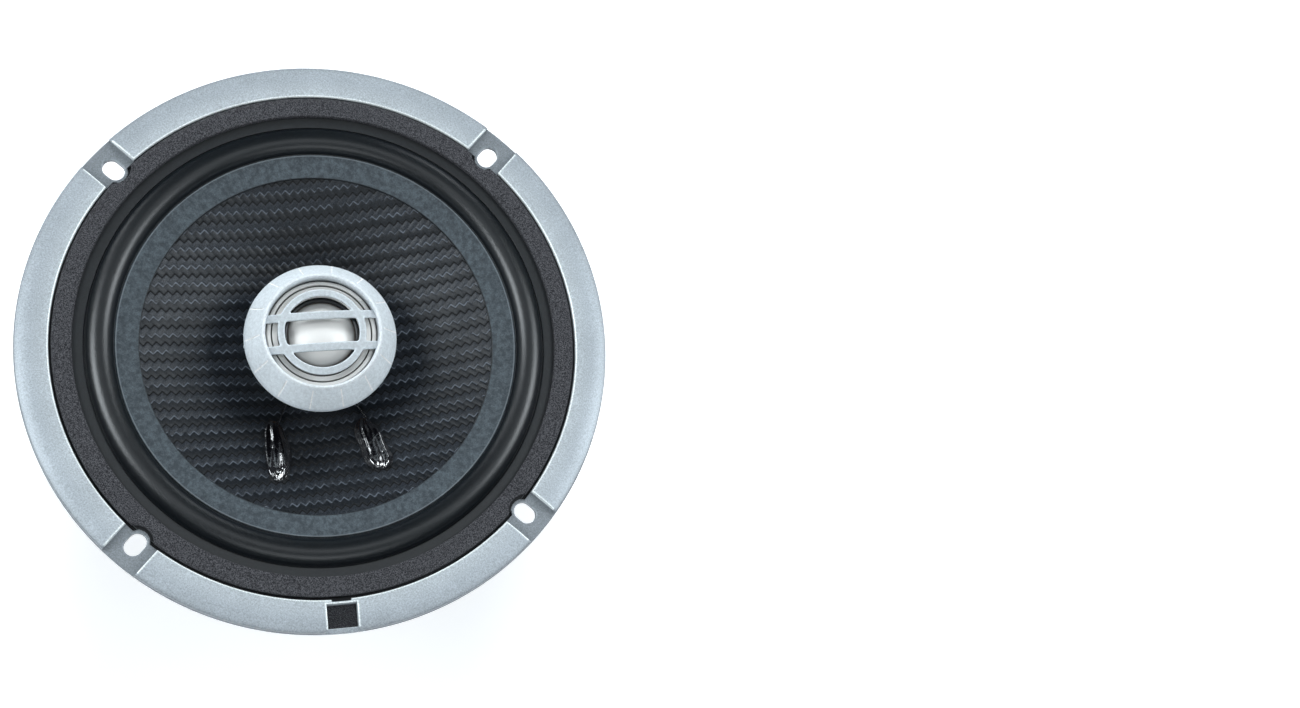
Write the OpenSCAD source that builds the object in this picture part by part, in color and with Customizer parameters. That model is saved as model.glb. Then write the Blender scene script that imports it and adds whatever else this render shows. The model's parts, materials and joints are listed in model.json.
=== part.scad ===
// Two-way coaxial car speaker, 6.5 inch class.
// Origin: centre of the rim's rear face. +Z points out of the front.
// X and Y run through the four screw slots; the small rim window lies on the diagonal +X -Y.

/* [Rim] */
// Outside diameter of the mounting rim
rim_d = 170.4; // [169:0.1:172]
// Thickness of the flange under the pads
flange_t = 2; // [1.8:0.1:2.1]
// Height of the crowned pads above the flange
pad_h = 2.2; // [1.8:0.1:2.6]
// Width of each screw land
land_w = 11.4; // [10.6:0.1:12.4]
// Width of the window beside the pads
window_w = 8.4; // [7.4:0.1:9.4]

/* [Screw slots] */
// Distance between opposite slots, centre to centre
slot_span = 156; // [155:0.5:157]
// Width of a slot
slot_w = 5.2; // [4.6:0.1:5.4]
// Length of a slot, end to end
slot_l = 6.8; // [6.4:0.1:7.4]

/* [Basket] */
// Outside diameter of the skirt that goes through the panel
skirt_d = 139.2; // [138.8:0.1:139.6]
// Height of the skirt behind the rim
skirt_h = 9; // [8.6:0.1:9.4]
// Width of a spoke
spoke_w = 22; // [18:1:24]

/* [Motor] */
// Outside diameter of the ring magnet
magnet_d = 88; // [84:1:90]
// Height of the ring magnet
magnet_h = 15; // [14.6:0.1:15.4]
// Diameter of the pole
pole_d = 24.5; // [24.3:0.1:24.5]

/* [Cone] */
// Radius where the cone meets the surround's inner ring
cone_r = 51; // [50.6:0.1:51.4]
// Wall of the cone
cone_t = 0.8; // [0.6:0.1:0.8]
// Height of the surround's half-roll above its roots
roll_h = 3.3; // [2.8:0.1:3.8]

/* [Tweeter] */
// Outside diameter of the bezel
bezel_d = 43.8; // [43.4:0.1:44.2]
// Number of engraved marks round the bezel
mark_count = 14; // [8:1:20]
// Distance between the two guard bars, centre to centre
bar_pitch = 9.3; // [8.6:0.1:10]

/* [Hidden] */
$fn = 96;
e = 0.01;

silver = [0.70, 0.74, 0.77];
steel = [0.62, 0.63, 0.65];
rubber = [0.10, 0.11, 0.13];
foam = [0.16, 0.15, 0.15];
copper = [0.72, 0.38, 0.20];
brass = [0.85, 0.72, 0.45];
bright = [0.88, 0.85, 0.78];
black_plastic = [0.06, 0.06, 0.07];

// Rim, from the outside in
rim_r = rim_d / 2;
rim_inner_r = rim_r - 9.6;
pad_outer_r = rim_r - 0.2;
pad_top = flange_t + pad_h;
seat_r = 71.6;
seat_z = flange_t - 0.8;
slot_r = slot_span / 2;
skirt_r = skirt_d / 2;
skirt_inner_r = skirt_r - 2.8;
window_in = rim_inner_r + 1.4;
window_out = rim_r - 1.6;
gasket_in = 69.3;
gasket_out = 74.9;
gasket_t = 1.6;
groove_in = 74.5;
groove_floor = flange_t - 1.1;
boss_centre = slot_r - (slot_l - slot_w) / 2;
boss_r = slot_w / 2 + 0.9;
scallop_r = 4.7;

// Basket behind the rim
cup_r = 39;
ledge_out = 43.5;
ledge_in = 36.5;
ledge_z = -22;
floor_z = -29.5;
motor_z = -32;
tab_out = 58;
tab_half = 15;
tab_t = 2.5;
rivet_v = 51;
blade_u = 9;

// Motor, from the basket back
plate_t = 5;
plate_r = 41;
gap_r = 13.9;
magnet_z = motor_z - plate_t;
yoke_z = magnet_z - magnet_h;
back_z = yoke_z - plate_t;
pole_r = pole_d / 2;
magnet_in = 22.5;
nut_floor = back_z + 6.5;
nut_pocket_r = 8.5;
stud_r = 4;
groove_w = 3.4;
groove_h = 2.2;
rivet_ring = 27;
screw_u = 7.3;

// Moving assembly
former_in = 12.6;
former_out = 12.9;
former_top = -14.5;
neck_r = 13.7;
neck_z = -16;
cone_edge_z = -0.2;
glue_r = 57.4;
glue_z = 1.5;
roll_in = 58;
roll_out = 66;
roll_z = 1.6;
winding_out = 13.5;
winding_top = -29.5;
winding_bottom = -39.5;
lead_v = 31;
lead_u = 14;

// Tweeter heights
post_head_z = -2;
pot_z = 2.2;
pot_r = 13.2;
pot_top = 9.3;
face_z = 9.6;
lip_z = 14.3;
recess_r = 16.1;
guard_top = 14.7;
guard_t = 1.4;
guard_sphere = 66;

// Front face of the cone at radius r, and the glue ring outside it
function cone_z(r) = r < cone_r
    ? neck_z + (cone_edge_z - neck_z) * pow(max(0, r - neck_r) / (cone_r - neck_r), 0.92)
    : cone_edge_z + (glue_z - cone_edge_z) * (r - cone_r) / (glue_r - cone_r);
cone_steps = 14;
cone_front = [for (i = [0 : cone_steps]) let (r = neck_r + (cone_r - neck_r) * i / cone_steps)
    [r, cone_z(r)]];

// Smooth path through hand-placed points, then a tube along it
function mid(a, b, c, d, t) = 0.5 * (2 * b + (c - a) * t + (2 * a - 5 * b + 4 * c - d) * t * t
    + (3 * b - a - 3 * c + d) * t * t * t);
function smooth_path(p, steps) = let (n = len(p)) concat(
    [for (i = [0 : n - 2]) for (k = [0 : steps - 1])
        mid(p[max(0, i - 1)], p[i], p[i + 1], p[min(n - 1, i + 2)], k / steps)], [p[n - 1]]);
function unit(a) = a / norm(a);
function ring_at(p, i, r, sides) = let (
    along = unit(p[min(len(p) - 1, i + 1)] - p[max(0, i - 1)]),
    side = unit(cross(along, [0, 1, 0])),
    up = cross(side, along))
    [for (k = [0 : sides - 1]) p[i] + r * (cos(360 * k / sides) * side + sin(360 * k / sides) * up)];
module tube(points, r, steps = 3, sides = 8) {
    path = smooth_path(points, steps);
    n = len(path);
    skin = [for (i = [0 : n - 1]) each ring_at(path, i, r, sides)];
    walls = [for (i = [0 : n - 2]) for (k = [0 : sides - 1]) let (j = (k + 1) % sides)
        [i * sides + k, i * sides + j, (i + 1) * sides + j, (i + 1) * sides + k]];
    first = [for (k = [sides - 1 : -1 : 0]) k];
    last = [for (k = [0 : sides - 1]) (n - 1) * sides + k];
    polyhedron(skin, concat([first], walls, [last]));
}

// Local frame of the window diagonal: x runs out through the window, y to its right
module window_frame() rotate([0, 0, -45]) children();
module at_screws() for (a = [0 : 90 : 270]) rotate([0, 0, a]) children();
module ring(outer, inner, z, h) translate([0, 0, z]) difference() {
    cylinder(r = outer, h = h);
    translate([0, 0, -1]) cylinder(r = inner, h = h + 2);
}
module slot_2d(w, l) {
    square([l - w, w], center = true);
    for (s = [-1, 1]) translate([s * (l - w) / 2, 0]) circle(d = w);
}

// ---- Basket ----

pad_profile = [
    [rim_inner_r, flange_t - 0.5], [rim_inner_r, pad_top - 0.8], [rim_inner_r + 0.12, pad_top - 0.58],
    [rim_inner_r + 0.4, pad_top - 0.42],
    for (i = [0 : 6]) let (r = rim_inner_r + 0.9 + i * 1.1) [r, pad_top - 0.35 * pow((r - 79.8) / 3.6, 2)],
    [pad_outer_r - 1.1, pad_top - 0.5], [pad_outer_r - 0.45, pad_top - 0.65],
    [pad_outer_r - 0.1, pad_top - 0.9], [pad_outer_r, pad_top - 1.25], [pad_outer_r, flange_t - 0.5]];

module window_corners_2d() {
    corner = 1.8;
    for (s = [-1, 1]) difference() {
        translate([pad_outer_r - corner / 2 + 0.5, s * (window_w + corner) / 2])
            square([corner + 1, corner], center = true);
        translate([pad_outer_r - corner, s * (window_w / 2 + corner)]) circle(r = corner);
    }
}

module rim_pads() difference() {
    rotate_extrude() polygon(pad_profile);
    at_screws() translate([60, -land_w / 2, flange_t]) cube([40, land_w, 10]);
    window_frame() translate([0, 0, flange_t]) linear_extrude(10) {
        translate([window_in, -window_w / 2]) square([20, window_w]);
        window_corners_2d();
    }
    window_frame() translate([rim_inner_r - 2, -2.8, 0]) cube([2.7, 5.6, 10]);
}

module rim_flange() rotate_extrude() polygon([
    [skirt_inner_r, -skirt_h], [skirt_r, -skirt_h], [skirt_r, 0], [rim_r - 0.5, 0], [rim_r, 0.5],
    [rim_r, flange_t - 0.4], [rim_r - 0.4, flange_t], [rim_inner_r, flange_t],
    [rim_inner_r, groove_floor], [groove_in, groove_floor], [groove_in, flange_t],
    [seat_r, flange_t], [seat_r, seat_z], [skirt_inner_r, seat_z]]);

// Bosses that carry the screw slots across the groove
module slot_bosses() at_screws() translate([boss_centre, 0, groove_floor - 0.4])
    cylinder(r = boss_r, h = flange_t - groove_floor + 0.4);

module spokes() {
    foot = 24.5;
    intersection() {
        rotate_extrude() polygon([[41.5, ledge_z], [skirt_inner_r, 2 - skirt_h], [skirt_r, 2 - skirt_h],
            [skirt_r, -skirt_h], [ledge_out, -foot], [41.5, -foot]]);
        at_screws() translate([30, -spoke_w / 2, -60]) cube([60, spoke_w, 60]);
    }
    intersection() {
        rotate_extrude() polygon([[cup_r - 0.5, -foot], [ledge_out, -foot], [skirt_r - 0.6, -skirt_h],
            [skirt_r - 0.6, -skirt_h - 3], [ledge_out, -30], [cup_r - 0.5, -30]]);
        at_screws() for (s = [-1, 1]) translate([30, s * (spoke_w / 2 - 1) - 1, -60]) cube([60, 2, 60]);
    }
}

module cup() rotate_extrude() polygon([
    [15, motor_z], [cup_r, motor_z], [cup_r, ledge_z - tab_t], [ledge_out, ledge_z - tab_t],
    [ledge_out, ledge_z], [ledge_in, ledge_z], [ledge_in, floor_z], [15, floor_z]]);

module terminal_tab() window_frame() translate([0, 0, ledge_z - tab_t]) linear_extrude(tab_t) {
    translate([cup_r, -tab_half]) square([tab_out - cup_r - 3, 2 * tab_half]);
    translate([cup_r, 3 - tab_half]) square([tab_out - cup_r, 2 * tab_half - 6]);
    for (s = [-1, 1]) translate([tab_out - 3, s * (tab_half - 3)]) circle(r = 3);
}

module terminal_holes(z, h) window_frame() translate([0, 0, z]) {
    for (s = [-1, 1]) translate([rivet_v, blade_u * s, 0]) cylinder(r = 1.5, h = h);
    translate([49, -13, 0]) cylinder(r = 1, h = h);
}

module basket() color(silver) difference() {
    union() {
        rim_flange();
        slot_bosses();
        rim_pads();
        spokes();
        cup();
        terminal_tab();
    }
    at_screws() translate([slot_r, 0, -1]) linear_extrude(10) slot_2d(slot_w, slot_l);
    window_frame() translate([window_in, -window_w / 2, -1]) cube([window_out - window_in, window_w, 10]);
    for (a = [22.5 : 45 : 337.5]) rotate([0, 0, a]) translate([35, -4, -28.2]) cube([6, 8, 2.6]);
    for (a = [45 : 90 : 315]) rotate([0, 0, a]) translate([rivet_ring, 0, -40]) cylinder(r = 1.6, h = 20);
    terminal_holes(-30, 20);
}

module front_gasket() color(foam) difference() {
    ring(gasket_out, gasket_in, flange_t, gasket_t);
    at_screws() translate([boss_centre, 0, 0]) cylinder(r = scallop_r, h = 10);
}

module rear_gasket() color(foam) difference() {
    ring(rim_r - 0.6, rim_r - 11.4, -1.6, 1.6);
    at_screws() translate([slot_r, 0, -5]) linear_extrude(10) slot_2d(slot_w + 1.4, slot_l + 1.4);
}

// ---- Motor ----

module chamfered_ring(outer, inner, low, high, c) rotate_extrude() polygon([
    [inner, low], [outer - c, low], [outer, low + c], [outer, high - c], [outer - c, high],
    [inner, high]]);

module top_plate() color(steel) difference() {
    chamfered_ring(plate_r, gap_r, magnet_z, motor_z, 0.5);
    for (a = [45 : 90 : 315]) rotate([0, 0, a]) translate([rivet_ring, 0, magnet_z - 1])
        cylinder(r = 1.6, h = plate_t + 2);
}

module ring_magnet() color([0.20, 0.20, 0.21])
    chamfered_ring(magnet_d / 2, magnet_in, yoke_z, magnet_z, 0.8);

module back_plate_and_pole() color(steel) difference() {
    rotate_extrude() polygon([
        [stud_r + 0.3, motor_z], [pole_r - 0.5, motor_z], [pole_r, motor_z - 0.5], [pole_r, yoke_z],
        [plate_r, yoke_z], [plate_r, back_z + 1], [plate_r - 1, back_z], [nut_pocket_r, back_z],
        [nut_pocket_r, nut_floor], [stud_r + 0.3, nut_floor]]);
    window_frame() translate([nut_pocket_r - 1, -groove_w / 2, back_z - 1])
        cube([plate_r, groove_w, groove_h + 1]);
}

module basket_rivets() color(steel) for (a = [45 : 90 : 315]) rotate([0, 0, a])
    translate([rivet_ring, 0, 0]) rotate_extrude() polygon([
        [0, magnet_z], [1.5, magnet_z], [1.5, floor_z], [3, floor_z], [2.8, floor_z + 0.7],
        [1.8, floor_z + 1.2], [0, floor_z + 1.2]]);

// ---- Tweeter post and its fasteners ----

module tweeter_post() color(black_plastic) difference() {
    rotate_extrude() polygon([
        [2.4, nut_floor - 4], [stud_r, nut_floor - 4], [stud_r, motor_z], [8.5, motor_z],
        [8.5, motor_z + 2.5], [5.5, motor_z + 3.5], [5.5, post_head_z - 2.5], [9.5, post_head_z - 2.5],
        [9.5, post_head_z], [2.4, post_head_z]]);
    for (s = [-1, 1]) window_frame() translate([0, screw_u * s, -20]) cylinder(r = 1.2, h = 30);
}

module post_washer() color(steel) ring(7.8, stud_r + 0.2, nut_floor - 0.6, 0.6);

module post_nut() color(steel) translate([0, 0, nut_floor - 3.6]) difference() {
    cylinder(d = 15, h = 3, $fn = 6);
    translate([0, 0, -1]) cylinder(r = stud_r, h = 5);
}

module post_screws() color(steel) window_frame() for (s = [-1, 1]) translate([0, screw_u * s, 0])
    rotate_extrude() polygon([
        [0, post_head_z - 4], [1.3, post_head_z - 4], [1.7, post_head_z - 3.5],
        [1.7, post_head_z - 2.5], [1.1, post_head_z - 2.5], [1.1, post_head_z + 1.5],
        [0, post_head_z + 1.5]]);

// ---- Tweeter, fixed pieces ----

module tweeter_housing() color(black_plastic) difference() {
    union() {
        rotate_extrude() polygon([
            [3.2, post_head_z], [12, post_head_z], [17, 0.4], [19.6, 3], [20, 4], [20, 6.6],
            [18.2, 6.6], [18.2, 4.2], [16.4, 2.2], [13.6, 0], [3.2, 0]]);
        ring(13, 10.5, -e, pot_z + e);
    }
    window_frame() translate([9, -4, 0]) cube([4.5, 8, 10]);
    for (s = [-1, 1]) window_frame() translate([0, screw_u * s, post_head_z - 1])
        cylinder(r = 1.2, h = 2.6);
}

bezel_r = bezel_d / 2;
bezel_profile = [
    [20.1, 3.8], [bezel_r - 1, 3.9], [bezel_r - 0.3, 4.7], [bezel_r, 5.7], [bezel_r, 6.5],
    for (i = [0 : 8]) let (t = i / 8)
        [bezel_r - 0.15 - 4.4 * t, 6.9 + 6.7 * pow(t, 0.9)],
    [17, 14.1], [16.6, lip_z], [16.25, lip_z - 0.15], [recess_r, lip_z - 0.5], [recess_r - 0.3, 10.4],
    [17.2, 10.4], [20.1, 7.2]];

module guard_shapes() {
    for (s = [-1, 1]) translate([s * bar_pitch / 2 - 1.15, -16.5, 0]) cube([2.3, 33, 20]);
    ring(12.6, 10.6, 0, 20);
}

module tweeter_guard() intersection() {
    translate([0, 0, guard_top - guard_sphere]) difference() {
        sphere(r = guard_sphere);
        sphere(r = guard_sphere - guard_t);
    }
    guard_shapes();
}

module tweeter_bezel() color(silver) window_frame() {
    difference() {
        rotate_extrude() polygon(bezel_profile);
        for (k = [0 : mark_count - 1]) rotate([0, 0, (k + 0.5) * 360 / mark_count])
            translate([bezel_r - 0.9, 0, 6.9 + 1]) rotate([0, -61, 0])
                translate([0, -0.18, -0.3]) cube([5.4, 0.36, 1]);
    }
    tweeter_guard();
}

module tweeter_face_ring() color(bright) rotate_extrude() polygon([
    [10.9, face_z], [15.7, face_z], [15.7, 10.7], [15.4, 11], [14.5, 11], [14.3, 10.6], [14, 10.6],
    [13.8, 10.9], [12.1, 10.3], [11.8, 10.6], [11.1, 10.6], [10.9, 10.3]]);

module tweeter_pot() color(steel) rotate_extrude() polygon([
    [0, pot_z], [pot_r - 0.4, pot_z], [pot_r, pot_z + 0.4], [pot_r, pot_top], [11, pot_top],
    [10.3, pot_top - 0.7], [10.3, pot_z + 1.4], [0, pot_z + 1.4]]);

module tweeter_magnet() color([0.75, 0.75, 0.76])
    translate([0, 0, pot_z + 1.4]) cylinder(r = 8.8, h = 2.8);

module tweeter_pole_plate() color(steel)
    translate([0, 0, pot_z + 4.2]) cylinder(r = 9.1, h = 2);

module tweeter_tags() color(brass) window_frame() for (s = [-1, 1])
    translate([13.4, 3 * s - 0.9, face_z - 0.4]) cube([2, 1.8, 0.4]);

// Wires from the tweeter down the post, along the back plate's groove and up to the terminals
wire_r = 0.6;
wire_down = [[14.4, 3, 8.5], [15.2, 3, 7], [15.2, 2.9, 4.4], [14, 2.4, 2], [11, 1.6, 1.1], [6, 1, 1.1],
    [3.2, 0.9, 0.9], [1.4, 0.8, -0.6], [0.8, 0.8, -4], [0.8, 0.8, -20], [0.8, 0.8, -38],
    [0.8, 0.8, -52], [1.2, 0.8, -54.6], [3, 0.8, -55.8], [7, 0.8, -55.9], [22, 0.8, -55.9],
    [38, 0.8, -55.9], [44.4, 0.8, -55.6], [46.8, 0.8, -53.4], [47, 0.8, -48]];
positive_up = [[46.6, 0.6, -41], [44.8, 0.2, -34], [43.8, 0, -30.6], [44.3, 0, -29.2], [45.2, 0, -29]];
negative_up = [[47, -1.2, -42], [47, -3.4, -37.6], [47.5, -8, -34], [48.6, -12.2, -30.4],
    [49, -13, -27], [49, -13, -23.5], [49, -12.9, -20.9], [49.1, -11.8, -19.5], [49.3, -10.2, -19.5]];

module tweeter_wire_positive() color([0.75, 0.10, 0.08]) window_frame()
    tube(concat(wire_down, positive_up), wire_r);

module tweeter_wire_negative() color([0.08, 0.08, 0.09]) window_frame()
    tube(concat([for (p = wire_down) [p[0], -p[1], p[2]]], negative_up), wire_r);

// ---- Terminals and crossover ----

board_z = ledge_z;
blade_z = board_z + 1;
blade_t = 0.8;

module terminal_board() color([0.16, 0.10, 0.06]) difference() {
    window_frame() translate([44.5, -tab_half, board_z]) cube([13.5, 2 * tab_half, 1]);
    terminal_holes(board_z - 1, 4);
}

module blade(width, side) color(brass) window_frame() translate([0, blade_u * side, blade_z])
    linear_extrude(blade_t)
    difference() {
        polygon([[47, -width / 2], [64.8, -width / 2], [66, 0.8 - width / 2], [66, width / 2 - 0.8],
            [64.8, width / 2], [47, width / 2]]);
        translate([rivet_v, 0]) circle(r = 1.05);
        translate([62.6, 0]) circle(r = 0.7);
    }

module terminal_positive() blade(4.8, 1);

module terminal_negative() blade(2.8, -1);

module terminal_rivets() color(steel) window_frame() for (s = [-1, 1]) translate([rivet_v, blade_u * s, 0])
    rotate_extrude() polygon([
        [0, ledge_z - tab_t - 0.6], [2.1, ledge_z - tab_t - 0.6], [2.3, ledge_z - tab_t],
        [1, ledge_z - tab_t], [1, blade_z + blade_t], [1.35, blade_z + blade_t],
        [1.35, blade_z + blade_t + 0.4], [0, blade_z + blade_t + 0.4]]);

module crossover_capacitor() color([0.10, 0.16, 0.42]) window_frame() translate([47, 0, -29])
    rotate([0, 90, 0]) rotate_extrude() polygon([
        [0, 0], [3.4, 0], [3.9, 0.5], [3.7, 1.2], [4, 1.7], [4, 11.6], [3.5, 12], [0, 12]]);

module capacitor_leads() color(steel) window_frame() {
    translate([45.6, 0, -29]) rotate([0, 90, 0]) cylinder(r = 0.35, h = 1.4);
    tube([[59.1, 0, -29], [60.2, 0, -28.9], [61, 2, -27.2], [61.2, 6, -24], [61.2, 7.8, -22.2],
        [61.2, 8, -21.1]], 0.35);
}

module capacitor_adhesive() color([0.85, 0.84, 0.78]) window_frame() difference() {
    translate([48.4, -2.6, -25.7]) cube([9, 5.2, 1.2]);
    translate([40, 0, -29]) rotate([0, 90, 0]) cylinder(r = 4, h = 30);
}

// ---- Moving assembly ----

module cone() color([0.13, 0.14, 0.16]) difference() {
    rotate_extrude() polygon(concat(
        [[former_out, neck_z - 2.4], [neck_r, neck_z - 2.4], [neck_r, neck_z - 1.2]],
        [for (i = [1 : cone_steps]) cone_front[i] - [0, cone_t]],
        [[glue_r, glue_z - cone_t], [glue_r, glue_z]],
        [for (i = [cone_steps : -1 : 0]) cone_front[i]],
        [[former_out, neck_z + 0.5]]));
    coil_lead_slots();
}

module surround() color(rubber) rotate_extrude() polygon(concat(
    [[cone_r - 0.1, cone_edge_z], [cone_r - 0.1, cone_edge_z + 0.75], [glue_r + 0.1, glue_z + 0.8],
        [glue_r + 0.5, roll_z + 0.2]],
    [for (i = [0 : 16]) let (a = 180 - 180 * i / 16)
        [(roll_in + roll_out) / 2 + (roll_out - roll_in) / 2 * cos(a), roll_z + roll_h * sin(a)]],
    [[roll_out + 0.4, flange_t], [seat_r - 0.2, flange_t], [seat_r - 0.2, seat_z],
        [skirt_inner_r - 0.2, seat_z]],
    [for (i = [0 : 16]) let (a = 180 * i / 16)
        [(roll_in + roll_out) / 2 + ((roll_out - roll_in) / 2 - 0.7) * cos(a),
            roll_z - 0.8 + (roll_h + 0.1) * sin(a)]],
    [[glue_r, roll_z - 0.8], [glue_r, glue_z]]));

spider_t = 0.5;
spider_r = 41.3;
function spider_wave(r) = ledge_z + 0.35 + 1.1 * (r < 16 || r > 36 ? 0 : sin(360 * (r - 16) / 4));

module spider() color([0.72, 0.55, 0.26]) difference() {
    rotate_extrude() polygon(concat(
        [[former_out, ledge_z], [former_out, ledge_z + 2], [13.4, ledge_z + 2], [13.8, spider_wave(14) + spider_t]],
        [for (i = [0 : 40]) let (r = 16 + i * 0.5) [r, spider_wave(r) + spider_t]],
        [[37, ledge_z + spider_t], [spider_r, ledge_z + spider_t], [spider_r, ledge_z], [36.8, ledge_z]],
        [for (i = [40 : -1 : 0]) let (r = 16 + i * 0.5) [r, spider_wave(r)]],
        [[14, ledge_z]]));
    coil_lead_slots();
}

// Two narrow slots through the collars that the coil leads pass through
module coil_lead_slots() window_frame() for (s = [-1, 1]) rotate([0, 0, 35 * s])
    translate([former_out - 0.5, -0.5, -24]) cube([1.4, 1, 8.6]);

module voice_coil_former() color([0.62, 0.45, 0.22])
    ring(former_out, former_in, winding_bottom - 0.5, former_top - winding_bottom + 0.5);

module voice_coil_winding() color(copper)
    ring(winding_out, former_out, winding_bottom, winding_top - winding_bottom);

// Leads from the winding up the former and out over the cone; s is -1 on the left, 1 on the right
lead_r = 0.25;
function on_cone(v, u, lift) = [v, u, cone_z(norm([v, u])) + lift];
function lead_path(s) = [[10.85, 7.6 * s, winding_top + 0.1], [10.85, 7.6 * s, -24], [10.85, 7.6 * s, -18],
    [11, 7.7 * s, -15.6], [12.4, 8.5 * s, -14.9], on_cone(14.6, 9.8 * s, 0.45),
    on_cone(18.6, 11.8 * s, 0.4), on_cone(22.6, 13.4 * s, 0.4), on_cone(26.4, 14 * s, 0.4)];

module coil_lead_left() color(black_plastic) window_frame() tube(lead_path(-1), lead_r);

module coil_lead_right() color(black_plastic) window_frame() tube(lead_path(1), lead_r);

module lead_dab(s) color([0.03, 0.03, 0.04]) window_frame() difference() {
    for (b = [[25, 1.6], [28.6, 2.6], [33, 3.6], [36.6, 3]])
        translate(on_cone(b[0], lead_u * s, 0.2 - b[1] * 0.25)) sphere(r = b[1]);
    rotate_extrude() polygon(concat([[0, -40], [cone_r, -40]],
        [for (i = [cone_steps : -1 : 0]) cone_front[i]], [[0, neck_z]]));
}

module lead_dab_left() lead_dab(-1);

module lead_dab_right() lead_dab(1);

function tinsel_path(s) = [on_cone(lead_v, lead_u * s, -1.6), [lead_v + 0.6, 14 * s, -11.5],
    [34.4, 13.2 * s, -15.6], [39, 11.8 * s, -17.8], [44, 10.2 * s, -18.2], [46.6, 9.2 * s, -19],
    [48.2, 8.8 * s, -19.4]];

module tinsel_lead_left() color(copper) window_frame() tube(tinsel_path(-1), 0.6);

module tinsel_lead_right() color(copper) window_frame() tube(tinsel_path(1), 0.6);

// ---- Tweeter, moving pieces ----

dome_r = 9.5;
dome_h = 2.8;
dome_sphere = (dome_r * dome_r + dome_h * dome_h) / (2 * dome_h);

module tweeter_dome() color(bright) intersection() {
    translate([0, 0, pot_top + 0.1 + dome_h - dome_sphere]) difference() {
        sphere(r = dome_sphere);
        sphere(r = dome_sphere - 0.3);
    }
    translate([0, 0, pot_top + 0.1]) cylinder(r = dome_r + 0.1, h = 10);
}

module tweeter_surround() color(rubber) rotate_extrude() polygon([
    [9.6, pot_top + 0.1], [9.6, pot_top + 0.4], [9.9, pot_top + 0.8], [10.3, pot_top + 0.9],
    [10.7, pot_top + 0.7], [10.8, pot_top + 0.3], [13.2, pot_top + 0.3], [13.2, pot_top], [11, pot_top],
    [10.6, pot_top + 0.1], [10.3, pot_top + 0.6], [9.9, pot_top + 0.4], [9.8, pot_top + 0.1]]);

module tweeter_coil_former() color([0.75, 0.70, 0.60]) ring(9.6, 9.45, pot_z + 4, 3.2);

module tweeter_coil_winding() color(copper) ring(9.9, 9.6, pot_z + 4.3, 1.8);

basket();
front_gasket();
rear_gasket();
top_plate();
ring_magnet();
back_plate_and_pole();
basket_rivets();
tweeter_post();
post_washer();
post_nut();
post_screws();
tweeter_housing();
tweeter_bezel();
tweeter_face_ring();
tweeter_pot();
tweeter_magnet();
tweeter_pole_plate();
tweeter_tags();
tweeter_wire_positive();
tweeter_wire_negative();
terminal_board();
terminal_positive();
terminal_negative();
terminal_rivets();
crossover_capacitor();
capacitor_leads();
capacitor_adhesive();
cone();
surround();
spider();
voice_coil_former();
voice_coil_winding();
coil_lead_left();
coil_lead_right();
lead_dab_left();
lead_dab_right();
tinsel_lead_left();
tinsel_lead_right();
tweeter_dome();
tweeter_surround();
tweeter_coil_former();
tweeter_coil_winding();
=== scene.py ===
"""Looks of the coaxial car speaker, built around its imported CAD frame.

Lengths are millimetres unless a name ends in _m or _M. The row frame has +Z out of the speaker's front.
The window frame is the row frame turned so that its first axis runs out through the rim's window.
"""
import json
import math

import bmesh
import bpy
import numpy as np
from mathutils import Matrix, Vector


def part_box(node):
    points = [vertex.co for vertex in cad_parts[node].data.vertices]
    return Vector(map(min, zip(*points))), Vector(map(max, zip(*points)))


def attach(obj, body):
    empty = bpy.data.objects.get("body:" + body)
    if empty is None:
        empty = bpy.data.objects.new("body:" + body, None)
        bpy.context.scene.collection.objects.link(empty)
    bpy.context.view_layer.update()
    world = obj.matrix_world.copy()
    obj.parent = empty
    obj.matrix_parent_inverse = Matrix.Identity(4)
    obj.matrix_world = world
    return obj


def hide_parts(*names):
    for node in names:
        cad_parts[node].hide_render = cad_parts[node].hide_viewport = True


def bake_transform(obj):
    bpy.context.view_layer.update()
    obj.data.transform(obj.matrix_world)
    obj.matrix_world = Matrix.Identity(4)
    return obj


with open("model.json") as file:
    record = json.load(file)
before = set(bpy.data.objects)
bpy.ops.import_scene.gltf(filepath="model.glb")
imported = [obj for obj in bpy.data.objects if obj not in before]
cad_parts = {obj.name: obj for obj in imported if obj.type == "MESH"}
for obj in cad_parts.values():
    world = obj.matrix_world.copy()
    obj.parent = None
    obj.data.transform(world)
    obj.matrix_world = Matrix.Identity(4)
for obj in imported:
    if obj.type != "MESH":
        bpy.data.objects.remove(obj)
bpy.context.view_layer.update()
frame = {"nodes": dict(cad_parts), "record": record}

MM = 0.001
WINDOW_ANGLE = math.radians(-45)
VIEW_TURN = math.radians(41.5)
ALL_ROUND = 2 * math.pi
FAR = 1e3
SMOOTH_BELOW = math.radians(38)


def low(node):
    return np.array(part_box(node)[0]) / MM


def high(node):
    return np.array(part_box(node)[1]) / MM


# ---- Driving dimensions, read from the frame ----

RIM_R = high("basket")[0]
PAD_TOP = high("basket")[2]
FLANGE_TOP = low("front_gasket")[2]
GASKET_TOP = high("front_gasket")[2]
CONE_OUT = high("cone")[0]
CONE_TOP = high("cone")[2]
SURROUND_OUT = high("surround")[0]
SURROUND_TOP = high("surround")[2]
SPIDER_OUT = high("spider")[0]
FORMER_OUT = high("voice_coil_former")[0]
BEZEL_R = high("tweeter_bezel")[0]
BEZEL_BACK = low("tweeter_bezel")[2]
FACE_BACK = low("tweeter_face_ring")[2]
FACE_R = high("tweeter_face_ring")[0]
DOME_BACK = low("tweeter_dome")[2]
BACK_Z = low("back_plate_and_pole")[2]
BLADE_TOP = high("terminal_positive")[2]

# ---- Mesh helpers ----


def add_object(name, data):
    """Puts an object with this data into the scene."""
    added = bpy.data.objects.new(name, data)
    bpy.context.scene.collection.objects.link(added)
    return added


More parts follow.
